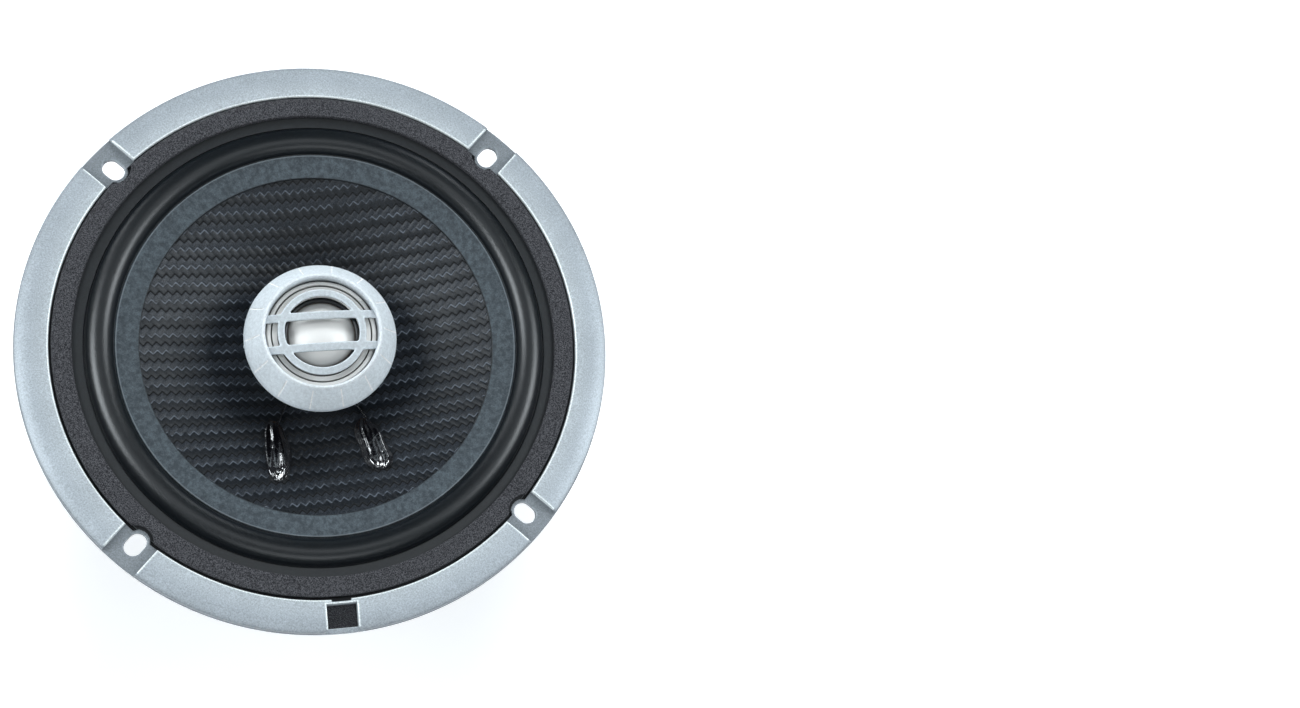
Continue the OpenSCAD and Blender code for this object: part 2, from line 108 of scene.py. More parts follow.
def make_object(name, vertices, faces, crease=SMOOTH_BELOW):
    """A smooth-shaded mesh object from vertices in millimetres, with edges over crease left sharp."""
    mesh = bpy.data.meshes.new(name)
    mesh.from_pydata((np.asarray(vertices, float) * MM).tolist(), [], [tuple(map(int, f)) for f in faces])
    mesh.update()
    mesh.shade_smooth()
    mesh.set_sharp_from_angle(angle=crease)
    return add_object(name, mesh)


def tidy_mesh(piece, merge=1e-7):
    """Welds coincident vertices and turns every face outwards."""
    work = bmesh.new()
    work.from_mesh(piece.data)
    bmesh.ops.remove_doubles(work, verts=work.verts, dist=merge)
    bmesh.ops.dissolve_degenerate(work, edges=work.edges, dist=merge)
    bmesh.ops.recalc_face_normals(work, faces=work.faces)
    work.to_mesh(piece.data)
    work.free()
    return piece


def join(name, pieces):
    """One object out of several."""
    with bpy.context.temp_override(
        active_object=pieces[0], object=pieces[0], selected_objects=pieces, selected_editable_objects=pieces
    ):
        bpy.ops.object.join()
    pieces[0].name = name
    pieces[0].data.name = name
    return pieces[0]


def soften(outline, radius, steps=3):
    """A closed outline with each corner rounded by a short curve."""
    points = [np.array(p, float) for p in outline]
    result = []
    for k, corner in enumerate(points):
        before = points[k - 1] - corner
        after = points[(k + 1) % len(points)] - corner
        reach_a = min(radius, 0.45 * np.linalg.norm(before)) / np.linalg.norm(before)
        reach_b = min(radius, 0.45 * np.linalg.norm(after)) / np.linalg.norm(after)
        start = corner + before * reach_a
        end = corner + after * reach_b
        for i in range(steps + 1):
            t = i / steps
            result.append((1 - t) ** 2 * start + 2 * t * (1 - t) * corner + t * t * end)
    return result


def soften_open(line, radius, steps=3):
    """As soften, for an open line: its two ends stay."""
    rounded = soften(line, radius, steps)
    inner = rounded[steps + 1 : len(rounded) - steps - 1]
    return [np.array(line[0], float), *inner, np.array(line[-1], float)]


def grid_faces(rows, columns, close_rows=False, close_columns=True):
    """Quads of a grid whose vertices run row by row."""
    faces = []
    for i in range(rows if close_rows else rows - 1):
        a = i * columns
        b = (i + 1) % rows * columns
        for k in range(columns if close_columns else columns - 1):
            n = (k + 1) % columns
            faces.append((a + k, a + n, b + n, b + k))
    return faces


def lathe(name, profile, columns=240, closed=True, angles=None, shape=None, crease=SMOOTH_BELOW):
    """Turns (radius, height) points about Z. shape may move the vertices: f(radius, height, angle)."""
    if angles is None:
        angles = np.linspace(0, ALL_ROUND, columns, endpoint=False)
    profile = np.array(profile, float)
    r, a = np.meshgrid(profile[:, 0], angles, indexing="ij")
    z = np.repeat(profile[:, 1][:, None], len(angles), axis=1)
    if shape is not None:
        r, z = shape(r, z, a)
    vertices = np.stack([r * np.cos(a), r * np.sin(a), z], axis=-1).reshape(-1, 3)
    faces = grid_faces(len(profile), len(angles), close_rows=closed)
    return tidy_mesh(make_object(name, vertices, faces, crease))


def smooth_path(points, steps):
    """A Catmull-Rom curve through given points."""
    points = [np.array(p, float) for p in points]
    path = []
    for i in range(len(points) - 1):
        a = points[max(0, i - 1)]
        b = points[i]
        c = points[i + 1]
        d = points[min(len(points) - 1, i + 2)]
        for k in range(steps):
            t = k / steps
            bend = (2 * a - 5 * b + 4 * c - d) * t * t + (3 * b - a - 3 * c + d) * t**3
            path.append(0.5 * (2 * b + (c - a) * t + bend))
    path.append(points[-1])
    return path


def sweep(name, path, section, crease=SMOOTH_BELOW):
    """Sweeps section(share along, number of sides) offsets along a path, with flat end caps."""
    path = np.array(path, float)
    along = np.gradient(path, axis=0)
    along /= np.linalg.norm(along, axis=1)[:, None]
    side = np.cross(along[0], [0.13, 0.97, 0.21])
    side /= np.linalg.norm(side)
    rings = []
    for i, point in enumerate(path):
        side = side - along[i] * (side @ along[i])
        side /= np.linalg.norm(side)
        up = np.cross(along[i], side)
        offsets = section(i / (len(path) - 1))
        rings.append(point + offsets[:, :1] * side + offsets[:, 1:] * up)
    count = len(rings[0])
    faces = grid_faces(len(rings), count)
    faces.append(tuple(range(count - 1, -1, -1)))
    faces.append(tuple(range((len(rings) - 1) * count, len(rings) * count)))
    return tidy_mesh(make_object(name, np.concatenate(rings), faces, crease))


def circle_section(radius, sides):
    """A round section, for sweep."""
    turn = np.linspace(0, ALL_ROUND, sides, endpoint=False)
    ring = np.stack([np.cos(turn), np.sin(turn)], axis=-1) * radius
    return lambda share: ring


def tube(name, points, radius, steps=6):
    """A round wire through given points."""
    return sweep(name, smooth_path(points, steps), circle_section(radius, sides=14))


def from_window(piece):
    """Turns a piece drawn in the window frame into the row frame."""
    piece.data.transform(Matrix.Rotation(WINDOW_ANGLE, 4, "Z"))
    return piece


def window_coordinates(x, y):
    """Row frame to window frame."""
    c = math.cos(WINDOW_ANGLE)
    s = math.sin(WINDOW_ANGLE)
    return x * c + y * s, y * c - x * s


def from_view(vector):
    """Turns a direction given with x to the picture's right into the row frame."""
    return Matrix.Rotation(VIEW_TURN, 3, "Z") @ Vector(vector)


def gradient(field, points, step=0.01):
    """Slope of a field at flat points."""
    dx = np.array([step, 0.0])
    dy = np.array([0.0, step])
    gx = (field(points + dx) - field(points - dx)) / (2 * step)
    gy = (field(points + dy) - field(points - dy)) / (2 * step)
    return np.stack([gx, gy], axis=-1)


def cut_cells(points, cells, field):
    """Keeps the cells that reach where field is negative, and pulls their outer corners onto its edge."""
    points = points.copy()
    inside = field(points) < 0
    cells = cells[inside[cells].any(axis=1)]
    used = np.unique(cells)
    outer = used[~inside[used]]
    for _ in range(6):
        slope = gradient(field, points[outer])
        size = np.maximum((slope**2).sum(axis=1), 0.2)
        points[outer] -= slope * (field(points[outer]) / size)[:, None]
    remap = -np.ones(len(points), int)
    remap[used] = np.arange(len(used))
    return points[used], remap[cells]


def edge_loops(cells):
    """Directed edges that only one cell has."""
    edges = np.concatenate([np.stack([cells[:, k], cells[:, (k + 1) % 4]], axis=-1) for k in range(4)])
    known = set(map(tuple, edges.tolist()))
    return [(a, b) for a, b in known if (b, a) not in known and a != b]


def plate(name, points, cells, top, bottom, skip_wall=None, crease=SMOOTH_BELOW):
    """A closed plate over flat cells: top and bottom give the heights of its two faces."""
    count = len(points)
    upper = np.column_stack([points, top(points)])
    lower = np.column_stack([points, bottom(points)])
    faces = [tuple(c) for c in cells]
    faces += [tuple(c[::-1] + count) for c in cells]
    for a, b in edge_loops(cells):
        if skip_wall is None or not skip_wall(points[a]):
            faces.append((b, a, a + count, b + count))
    return make_object(name, np.concatenate([upper, lower]), faces, crease)


def square_grid(half_x, half_y, step):
    """Points and cells of a flat square mesh about the origin."""
    xs = np.arange(-half_x, half_x + step / 2, step)
    ys = np.arange(-half_y, half_y + step / 2, step)
    x, y = np.meshgrid(xs, ys, indexing="xy")
    points = np.stack([x, y], axis=-1).reshape(-1, 2)
    return points, np.array(grid_faces(len(ys), len(xs), close_columns=False))


def polar_grid(radii, zones, spacing):
    """Columns run parallel to each zone's own direction near it, and fan out between the zones."""
    radii = np.array(radii, float)
    columns = []
    for k, (angle, offsets) in enumerate(zones):
        here = [angle + np.arcsin(y / radii) for y in offsets]
        next_angle, next_offsets = zones[(k + 1) % len(zones)]
        if k == len(zones) - 1:
            next_angle += ALL_ROUND
        far = next_angle + np.arcsin(next_offsets[0] / radii)
        steps = max(2, int((far - here[-1]).mean() * radii[-1] / spacing))
        columns += here
        columns += [here[-1] + (far - here[-1]) * i / steps for i in range(1, steps)]
    angles = np.array(columns).T
    x = radii[:, None] * np.cos(angles)
    y = radii[:, None] * np.sin(angles)
    points = np.stack([x, y], axis=-1).reshape(-1, 2)
    return points, np.array(grid_faces(len(radii), angles.shape[1]))


def radius_of(points):
    return np.hypot(points[:, 0], points[:, 1])


def smooth_min(a, b, k):
    """The smaller of two fields, with a fillet of about k where they cross."""
    share = np.clip(0.5 + 0.5 * (b - a) / k, 0, 1)
    return b * (1 - share) + a * share - k * share * (1 - share)


def attribute(piece, name, values):
    """Stores one number per vertex."""
    layer = piece.data.attributes.new(name, "FLOAT", "POINT")
    layer.data.foreach_set("value", np.asarray(values, np.float32))


def vertex_array(piece):
    """The vertices of a piece, in millimetres."""
    co = np.zeros(len(piece.data.vertices) * 3)
    piece.data.vertices.foreach_get("co", co)
    return co.reshape(-1, 3) / MM


def set_vertices(piece, vertices):
    piece.data.vertices.foreach_set("co", (vertices * MM).ravel())
    piece.data.update()


def blend_by_radius(piece):
    """Flattens a round piece's vertices onto their radii, bakes its transform into its mesh, and puts the
    vertices back as they were.
    """
    kept = vertex_array(piece)
    flat = kept.copy()
    flat[:, 0] = radius_of(kept)
    flat[:, 1] = 0
    set_vertices(piece, flat)
    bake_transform(piece)
    set_vertices(piece, kept)


# ---- Materials ----


class Look:
    """A Principled material whose colour, roughness and bump are driven by solid patterns."""

    def __init__(self, name, color, roughness, metallic=0.0, **numbers):
        self.material = bpy.data.materials.new(name)
        self.material.use_nodes = True
        self.nodes = self.material.node_tree.nodes
        self.links = self.material.node_tree.links
        self.shader = self.nodes["Principled BSDF"]
        self.shader.inputs["Base Color"].default_value = (*color, 1)
        self.shader.inputs["Roughness"].default_value = roughness
        self.shader.inputs["Metallic"].default_value = metallic
        for socket, value in numbers.items():
            self.shader.inputs[socket.replace("_", " ")].default_value = value
        self.place = self.nodes.new("ShaderNodeTexCoord").outputs["Object"]
        self.normal = None

    def noise(self, size, detail=2.0, roughness=0.5, stretch=None):
        """Solid noise with lumps of about size millimetres; stretch lengthens them along an axis."""
        node = self.nodes.new("ShaderNodeTexNoise")
        node.inputs["Scale"].default_value = 1 / (size * MM)
        node.inputs["Detail"].default_value = detail
        node.inputs["Roughness"].default_value = roughness
        self.links.new(self.stretched(stretch), node.inputs["Vector"])
        return node.outputs["Fac"]

    def stretched(self, stretch):
        if stretch is None:
            return self.place
        node = self.nodes.new("ShaderNodeMapping")
        node.inputs["Scale"].default_value = [1 / s for s in stretch]
        self.links.new(self.place, node.inputs["Vector"])
        return node.outputs["Vector"]

    def cells(self, size):
        """Distance to the nearest of scattered spots about size millimetres apart."""
        node = self.nodes.new("ShaderNodeTexVoronoi")
        node.inputs["Scale"].default_value = 1 / (size * MM)
        self.links.new(self.place, node.inputs["Vector"])
        return node.outputs["Distance"]

    def waves(self, size, direction, distortion=0.0):
        """Parallel bands size millimetres apart, across an axis or in rings about Z."""
        node = self.nodes.new("ShaderNodeTexWave")
        if direction == "RINGS":
            node.wave_type = "RINGS"
            node.rings_direction = "Z"
        else:
            node.bands_direction = direction
        node.inputs["Scale"].default_value = ALL_ROUND / 20 / (size * MM)
        node.inputs["Distortion"].default_value = distortion
        self.links.new(self.place, node.inputs["Vector"])
        return node.outputs["Fac"]

    def stored(self, name):
        """A value kept on the mesh's points."""
        node = self.nodes.new("ShaderNodeAttribute")
        node.attribute_name = name
        return node.outputs["Fac"]

    def math(self, kind, a, b):
        node = self.nodes.new("ShaderNodeMath")
        node.operation = kind
        for socket, value in zip(node.inputs, (a, b)):
            if isinstance(value, (int, float)):
                socket.default_value = value
            else:
                self.links.new(value, socket)
        return node.outputs[0]

    def spread(self, value, start, end, low_value=0.0, high_value=1.0):
        """Maps start..end of a pattern to low_value..high_value."""
        node = self.nodes.new("ShaderNodeMapRange")
        node.inputs["From Min"].default_value = start
        node.inputs["From Max"].default_value = end
        node.inputs["To Min"].default_value = low_value
        node.inputs["To Max"].default_value = high_value
        self.links.new(value, node.inputs["Value"])
        return node.outputs["Result"]

    def even(self, pattern, low_value=0.0, high_value=1.0):
        """Spreads the range that most of a noise lies in."""
        return self.spread(pattern, 0.3, 0.7, low_value, high_value)

    def mix(self, share, a, b):
        """Mixes two colours, each a tuple or another mix."""
        node = self.nodes.new("ShaderNodeMix")
        node.data_type = "RGBA"
        self.links.new(share, node.inputs["Factor"])
        for socket, value in ((node.inputs[6], a), (node.inputs[7], b)):
            if isinstance(value, tuple):
                socket.default_value = (*value, 1)
            else:
                self.links.new(value, socket)
        return node.outputs[2]

    def scaled(self, color, factor):
        """A colour times a number that varies."""
        node = self.nodes.new("ShaderNodeVectorMath")
        node.operation = "SCALE"
        if isinstance(color, tuple):
            node.inputs[0].default_value = color
        else:
            self.links.new(color, node.inputs[0])
        self.links.new(factor, node.inputs["Scale"])
        return node.outputs["Vector"]

    def paint(self, color):
        self.links.new(color, self.shader.inputs["Base Color"])

    def gloss(self, value, smooth, rough):
        self.links.new(self.even(value, smooth, rough), self.shader.inputs["Roughness"])

    def bump(self, height, depth, strength=1.0):
        """Adds relief whose full height is depth millimetres."""
        node = self.nodes.new("ShaderNodeBump")
        node.inputs["Distance"].default_value = depth * MM
        node.inputs["Strength"].default_value = strength
        self.links.new(height, node.inputs["Height"])
        if self.normal is not None:
            self.links.new(self.normal, node.inputs["Normal"])
        self.normal = node.outputs["Normal"]
        self.links.new(self.normal, self.shader.inputs["Normal"])


def dimmed(color, factor):
    """A colour times a number, kept just under white."""
    return tuple(min(0.97, c * factor) for c in color)


def painted_silver(name, color, flake, contrast, roughness, metallic):
    """Silver paint with flake and orange peel, in stored tones: 0 dark painted shade, 1 low, 2 plain, 3 a
    painted edge highlight.
    """
    look = Look(name, color, roughness, metallic=metallic, Specular_IOR_Level=0.4)
    cloud = look.noise(9, detail=3)
    speckle = look.noise(flake, detail=2, roughness=0.75)
    tone = look.stored("tone")
    # Tone 0 is near-black painted shade and tone 3 a near-white painted highlight; between them lie the
    # paint's own colour and its darker low faces.
    sunk = look.mix(look.spread(tone, 0, 1), (0.006, 0.007, 0.009), dimmed(color, 0.56))
    raised = look.mix(look.spread(tone, 1, 2), sunk, color)
    base = look.mix(look.spread(tone, 2, 3), raised, dimmed(color, 2.2))
    grain = look.even(speckle, 1 - contrast, 1 + contrast)
    look.paint(look.scaled(base, look.math("MULTIPLY", look.even(cloud, 0.95, 1.05), grain)))
    look.gloss(speckle, roughness - 0.08, roughness + 0.1)
    look.bump(look.noise(2.2, detail=1), 0.02)
    look.bump(speckle, 0.1 * contrast, strength=0.8)
    return look.material


def foam_look():
    """Closed-cell foam: charcoal, with pores and a coarse sparkling grain."""
    look = Look("foam", (0.06, 0.06, 0.066), 0.85, Specular_IOR_Level=0.35)
    grain = look.noise(0.34, detail=3, roughness=0.75)
    pores = look.cells(0.42)
    shade = look.mix(look.spread(grain, 0.42, 0.62), (0.014, 0.014, 0.017), (0.112, 0.112, 0.122))
    look.paint(look.mix(look.spread(pores, 0.04, 0.4), (0.014, 0.014, 0.017), shade))
    look.bump(look.noise(4, detail=2), 0.12)
    look.bump(grain, 0.14)
    look.bump(pores, 0.10)
    return look.material


def rubber_look():
    """Moulded rubber: blue-black and satin on the roll, dull grey with glue where it lies flat, and a painted
    highlight line where the stored band goes over 1.
    """
    look = Look("rubber", (0.012, 0.014, 0.018), 0.3, Specular_IOR_Level=0.7)
    bloom = look.noise(0.45, detail=3, roughness=0.75)
    smear = look.noise(1.6, detail=4, roughness=0.65, stretch=(1, 1, 3))
    band = look.stored("band")
    roll = look.mix(look.spread(bloom, 0.36, 0.68), (0.001, 0.002, 0.003), (0.004, 0.007, 0.010))
    flat = look.mix(look.spread(smear, 0.38, 0.62), (0.030, 0.040, 0.049), (0.068, 0.088, 0.102))
    flat = look.scaled(flat, look.spread(bloom, 0.34, 0.66, 0.65, 1.3))
    laid = look.mix(look.spread(band, 0.0, 1.0), roll, flat)
    # Band values over 1 give a painted highlight line on the glue ring's bead.
    look.paint(look.mix(look.spread(band, 1.0, 2.0), laid, (0.30, 0.34, 0.37)))
    rough = look.math("ADD", look.spread(band, 0.0, 0.5, 0.34, 0.8), look.even(bloom, -0.03, 0.05))
    look.links.new(rough, look.shader.inputs["Roughness"])
    look.bump(bloom, 0.03)
    look.bump(smear, 0.05, strength=0.6)
    return look.material


def weave_look():
    """Coated cloth: two tow directions painted as lit and shaded copies, with fine fibres along each, painted
    shade in the seams between them and painted glints at float ends.
    """
    look = Look("woven_cone", (0.018, 0.021, 0.026), 0.4, Specular_IOR_Level=0.4)
    tow = look.stored("tow")
    seam = look.stored("seam")
    grain = look.noise(0.3, detail=3, roughness=0.75)
    tone = look.noise(8, detail=3)
    # The tows along and across are lit and shaded copies of one cloth: a painted sheen.
    across = look.mix(look.spread(grain, 0.38, 0.66), (0.001, 0.002, 0.003), (0.013, 0.017, 0.023))
    along = look.mix(look.spread(grain, 0.38, 0.66), (0.003, 0.004, 0.006), (0.036, 0.044, 0.056))
    cloth = look.mix(tow, across, along)
    patches = look.spread(look.noise(2.2), 0.35, 0.6)
    # Painted glints at one end of each float, in patches.
    glint = look.math("MULTIPLY", look.spread(seam, -0.3, -1.0, 0.0, 1.0), patches)
    # Painted shade in the seams where a float dives under the next tow.
    sunk = look.scaled(cloth, look.spread(seam, 0.1, 0.9, 1.0, 0.10))
    look.paint(look.mix(glint, sunk, (0.12, 0.14, 0.17)))
    gloss = look.math("ADD", look.even(tone, 0.36, 0.48), look.spread(seam, 0.1, 0.9, 0.0, 0.45))
    look.links.new(gloss, look.shader.inputs["Roughness"])
    fibre_x = look.waves(0.22, "X", 0.6)
    fibre_y = look.waves(0.22, "Y", 0.6)
    crosswise = look.math("MULTIPLY", look.math("SUBTRACT", 1.0, tow), fibre_y)
    look.bump(look.math("ADD", look.math("MULTIPLY", tow, fibre_x), crosswise), 0.02, strength=0.6)
    look.bump(grain, 0.03)
    return look.material


def glue_look():
    """Hardened black adhesive: very glossy, with ripples and drawn-out creases."""
    look = Look("black_glue", (0.005, 0.005, 0.007), 0.05, Specular_IOR_Level=1.0, IOR=1.9,
        Coat_Weight=1.0, Coat_IOR=1.9)
    ripple = look.noise(1.6, detail=2)
    look.paint(look.mix(look.even(ripple), (0.003, 0.003, 0.004), (0.009, 0.009, 0.012)))
    look.gloss(look.noise(1.2), 0.04, 0.12)
    look.bump(ripple, 0.3)
    return look.material


def metal_look(name, color, roughness, grain=0.3, depth=0.006, stretch=None):
    """Plain metal with a fine grain and small changes of gloss."""
    look = Look(name, color, roughness, metallic=1.0)
    fine = look.noise(grain, detail=3, roughness=0.6, stretch=stretch)
    cloud = look.noise(5, detail=3)
    look.paint(look.mix(look.spread(cloud, 0.35, 0.7), color, dimmed(color, 0.82)))
    look.gloss(fine, max(0.04, roughness - 0.07), roughness + 0.08)
    look.bump(fine, depth)
    return look.material


def turned_look(name, color, roughness):
    """Satin turned metal: faint rings about the axis, and painted shade where it is stored."""
    look = Look(name, color, roughness, metallic=0.25, Specular_IOR_Level=0.5)
    rings = look.waves(0.5, "RINGS")
    cloud = look.noise(3, detail=2)
    unshaded = look.mix(look.even(cloud), color, dimmed(color, 0.96))
    # Stored painted shade darkens the colour towards 12 per cent of the paint's.
    look.paint(look.mix(look.stored("painted_shade"), unshaded, dimmed(color, 0.12)))
    look.gloss(rings, roughness - 0.04, roughness + 0.05)
    look.bump(rings, 0.002, strength=0.4)
    return look.material


def ferrite_look():
    """Ground ceramic magnet: charcoal, with grinding marks, chips and pale dust."""
    look = Look("ferrite_block", (0.05, 0.05, 0.055), 0.62, Specular_IOR_Level=0.45)
    grit = look.noise(0.5, detail=4, roughness=0.7)
    chips = look.cells(3.5)
    dark = look.mix(look.spread(grit, 0.35, 0.7), (0.030, 0.030, 0.034), (0.075, 0.075, 0.082))
    look.paint(look.mix(look.spread(look.noise(7, detail=4), 0.62, 0.75), dark, (0.11, 0.11, 0.115)))
    look.gloss(grit, 0.5, 0.75)
    look.bump(look.spread(chips, 0.0, 0.25), 0.06)
    look.bump(grit, 0.05)
    return look.material


def moulded_look(name, color, roughness, grain=0.35, depth=0.02):
    """Moulded plastic, board or film with a fine surface grain."""
    look = Look(name, color, roughness, Specular_IOR_Level=0.45)
    fine = look.noise(grain, detail=2, roughness=0.6)
    tone = look.noise(6, detail=2)
    look.paint(look.mix(look.even(tone), color, dimmed(color, 0.78)))
    look.gloss(fine, max(0.05, roughness - 0.08), roughness + 0.08)
    look.bump(fine, depth)
    return look.material


def cloth_look(name, color, pitch, roughness=0.85):
    """Resin-dipped cotton: a plain weave of fine threads."""
    look = Look(name, color, roughness, Specular_IOR_Level=0.3)
    warp = look.waves(pitch, "X", 0.5)
    weft = look.waves(pitch, "Y", 0.5)
    weave = look.math("MULTIPLY", warp, weft)
    tone = look.noise(5, detail=3)
    lit = look.mix(look.even(tone), color, dimmed(color, 0.75))
    look.paint(look.mix(look.spread(weave, 0.0, 0.5), dimmed(color, 0.55), lit))
    look.bump(weave, 0.09)
    return look.material


def winding_look():
    """Enamelled copper wire wound in close turns."""
    look = Look("copper_winding", (0.66, 0.27, 0.12), 0.24, metallic=0.9, Coat_Weight=0.6)
    turns = look.waves(0.28, "Z")
    look.paint(look.mix(look.spread(turns, 0.1, 0.6), (0.25, 0.08, 0.03), (0.74, 0.32, 0.15)))
    look.gloss(look.noise(0.8), 0.2, 0.34)
    look.bump(turns, 0.06)
    return look.material


def braid_look():
    """Braided copper tinsel."""
    look = Look("copper_braid", (0.62, 0.34, 0.2), 0.4, metallic=0.9)
    strands = look.math("MULTIPLY", look.waves(0.35, "DIAGONAL"), look.waves(0.35, "Z"))
    look.paint(look.mix(look.spread(strands, 0.0, 0.5), (0.2, 0.09, 0.05), (0.78, 0.46, 0.3)))
    look.gloss(look.noise(0.5), 0.3, 0.5)
    look.bump(strands, 0.1)
    return look.material


def floor_look():
    """Plain pale paper."""
    look = Look("pale_floor", (0.93, 0.94, 0.95), 0.9, Specular_IOR_Level=0.1)
    look.paint(look.mix(look.noise(60, detail=2), (0.925, 0.935, 0.945), (0.94, 0.945, 0.95)))
    look.shader.inputs["Emission Color"].default_value = (1, 1, 1, 1)
    look.shader.inputs["Emission Strength"].default_value = 0.42
    return look.material


LOOKS = {
    "basket_silver": painted_silver("silver_rim", (0.415, 0.455, 0.49), 0.42, 0.28, 0.42, 0.25),
    "bezel_silver": painted_silver("silver_bezel", (0.72, 0.775, 0.81), 0.9, 0.12, 0.38, 0.0),
    "gasket_foam": foam_look(),
    "plated_steel": metal_look("zinc_plate", (0.56, 0.57, 0.58), 0.30),
    "ferrite": ferrite_look(),
    "nickel": metal_look("nickel_plate", (0.72, 0.72, 0.72), 0.18),
    "black_plastic": moulded_look("black_moulding", (0.022, 0.022, 0.025), 0.42),
    "bright_metal": turned_look("bright_turned", (0.98, 0.965, 0.935), 0.5),
    "brass": metal_look("brass_strip", (0.78, 0.62, 0.32), 0.28, stretch=(8, 1, 1)),
    "red_insulation": moulded_look("red_sleeve", (0.50, 0.025, 0.02), 0.32, depth=0.004),
    "black_insulation": moulded_look("black_sleeve", (0.02, 0.02, 0.022), 0.3, depth=0.004),
    "board_fibre": moulded_look("pressed_board", (0.15, 0.075, 0.035), 0.7, grain=0.8, depth=0.05),
    "capacitor_sleeve": moulded_look("blue_sleeve", (0.03, 0.075, 0.26), 0.25, depth=0.004),
    "pale_adhesive": moulded_look("set_adhesive", (0.66, 0.62, 0.50), 0.4, grain=1.6, depth=0.12),
    "cone_weave": weave_look(),
    "black_rubber": rubber_look(),
    "spider_cloth": cloth_look("dipped_cotton", (0.60, 0.40, 0.15), 0.55),
    "coil_former": moulded_look("amber_film", (0.16, 0.08, 0.03), 0.35, depth=0.004),
    "copper": winding_look(),
    "lead_cover": glue_look(),
    "tinsel": braid_look(),
}


def finish_piece(piece, slot_name, body, *nodes):
    """Gives a piece its look and slot, and stands it in for CAD nodes on their body."""
    piece.data.materials.clear()
    piece.data.materials.append(LOOKS[slot_name])
    if nodes:
        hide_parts(*nodes)
    if body is not None:
        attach(piece, body)
    return piece


# ---- Basket casting ----

CASTING_R_M = 0.0700
LAND_HALF = 5.7
SLOT_R = 78.0
SLOT_HALF_W = 2.6
SLOT_HALF_RUN = 0.8
PAD_IN = RIM_R - 9.6
PAD_OUT = RIM_R - 0.2
LIP_OUT = PAD_IN + 1.4
WINDOW_OUT = RIM_R - 1.6
WINDOW_HALF = 4.2
CORNER = 1.8
NOTCH_HALF = 2.8
NOTCH_OUT = PAD_IN + 0.7
GROOVE_IN = 74.5
GROOVE_FLOOR = FLANGE_TOP - 1.1
BOSS_R = SLOT_HALF_W + 0.9
BOSS_CENTRE = SLOT_R - SLOT_HALF_RUN
WALL_SLOPE = 14
SEAT_IN = 66.8
SEAT_OUT = 71.6
SEAT_Z = 1.2
QUARTER_TURNS = [k * math.pi / 2 for k in range(4)]


def along_land(points, turn):
    """Distance out along a screw land's middle line, and across it."""
    along = points[:, 0] * math.cos(turn) + points[:, 1] * math.sin(turn)
    across = points[:, 1] * math.cos(turn) - points[:, 0] * math.sin(turn)
    return along, across


def from_land_centre(points, turn, centre_r):
    """Distance from a point on a land's middle line."""
    centre = np.array([math.cos(turn), math.sin(turn)]) * centre_r
    return np.linalg.norm(points - centre, axis=1)


def beside_lands(points):
    """Distance outside the nearest screw land's two straight edges."""
    nearest = np.full(len(points), FAR)
    for turn in QUARTER_TURNS:
        along, across = along_land(points, turn)
        nearest = np.minimum(nearest, np.where(along > 0, np.abs(across) - LAND_HALF, FAR))
    return nearest


def pad_depth(points):
    """Distance inside a pad's outline, negative outside it."""
    r = radius_of(points)
    v, u = window_coordinates(points[:, 0], points[:, 1])
    window = np.where(v > 0, np.maximum(np.abs(u) - WINDOW_HALF, LIP_OUT - r), FAR)
    rim = PAD_OUT - r
    rounded = CORNER - np.hypot(np.maximum(CORNER - window, 0), np.maximum(CORNER - rim, 0))
    window = np.where((window < CORNER) & (rim < CORNER), rounded, np.minimum(window, rim))
    return np.minimum(np.minimum(window, beside_lands(points)), np.minimum(rim, r - PAD_IN))


def hole_depth(points):
    """Positive inside a screw slot or the window, negative in the metal."""
    deepest = np.full(len(points), -FAR)
    for turn in QUARTER_TURNS:
        along, across = along_land(points, turn)
        away = np.hypot(np.maximum(np.abs(along - SLOT_R) - SLOT_HALF_RUN, 0), across)
        deepest = np.maximum(deepest, SLOT_HALF_W - away)
    v, u = window_coordinates(points[:, 0], points[:, 1])
    inside = np.minimum(WINDOW_HALF - np.abs(u), np.minimum(v - LIP_OUT, WINDOW_OUT - v))
    return np.maximum(deepest, inside)


def rounded_edge(depth, radius):
    """How far a surface drops at depth from an edge rounded with radius."""
    within = np.clip(radius - depth, 0, radius)
    return radius - np.sqrt(radius * radius - within * within)


def boss_distance(points):
    """Distance outside the nearest screw slot's boss."""
    nearest = np.full(len(points), FAR)
    for turn in QUARTER_TURNS:
        nearest = np.minimum(nearest, from_land_centre(points, turn, BOSS_CENTRE) - BOSS_R)
    return nearest


def groove_depth(points):
    """Distance inside the groove between the gasket's seat and the pads, negative outside it."""
    r = radius_of(points)
    v, u = window_coordinates(points[:, 0], points[:, 1])
    notch = np.where(v > 0, np.minimum(NOTCH_HALF - np.abs(u), NOTCH_OUT - r), -FAR)
    outer = np.maximum(PAD_IN - r, notch)
    return np.minimum(np.minimum(r - GROOVE_IN, outer), boss_distance(points))


def rim_top(points):
    """Height of the rim's front: flange, crowned pads, lands, groove and lip."""
    r = radius_of(points)
    depth = pad_depth(points)
    crown = PAD_TOP - 0.35 * ((r - 79.8) / 3.6) ** 2 - rounded_edge(np.maximum(depth, 0), 0.4)
    pad = np.minimum(crown, FLANGE_TOP + np.maximum(depth, 0) * WALL_SLOPE)
    flange = FLANGE_TOP - rounded_edge(RIM_R - r, 0.4) - rounded_edge(np.maximum(-hole_depth(points), 0), 0.3)
    height = np.where(depth > 0, np.maximum(pad, flange), flange)
    groove = groove_depth(points)
    sunk = np.maximum(GROOVE_FLOOR, height - np.maximum(groove, 0) * WALL_SLOPE)
    height = np.where(groove > 0, sunk, height)
    return np.minimum(height, np.where(r < SEAT_OUT, SEAT_Z, FAR))


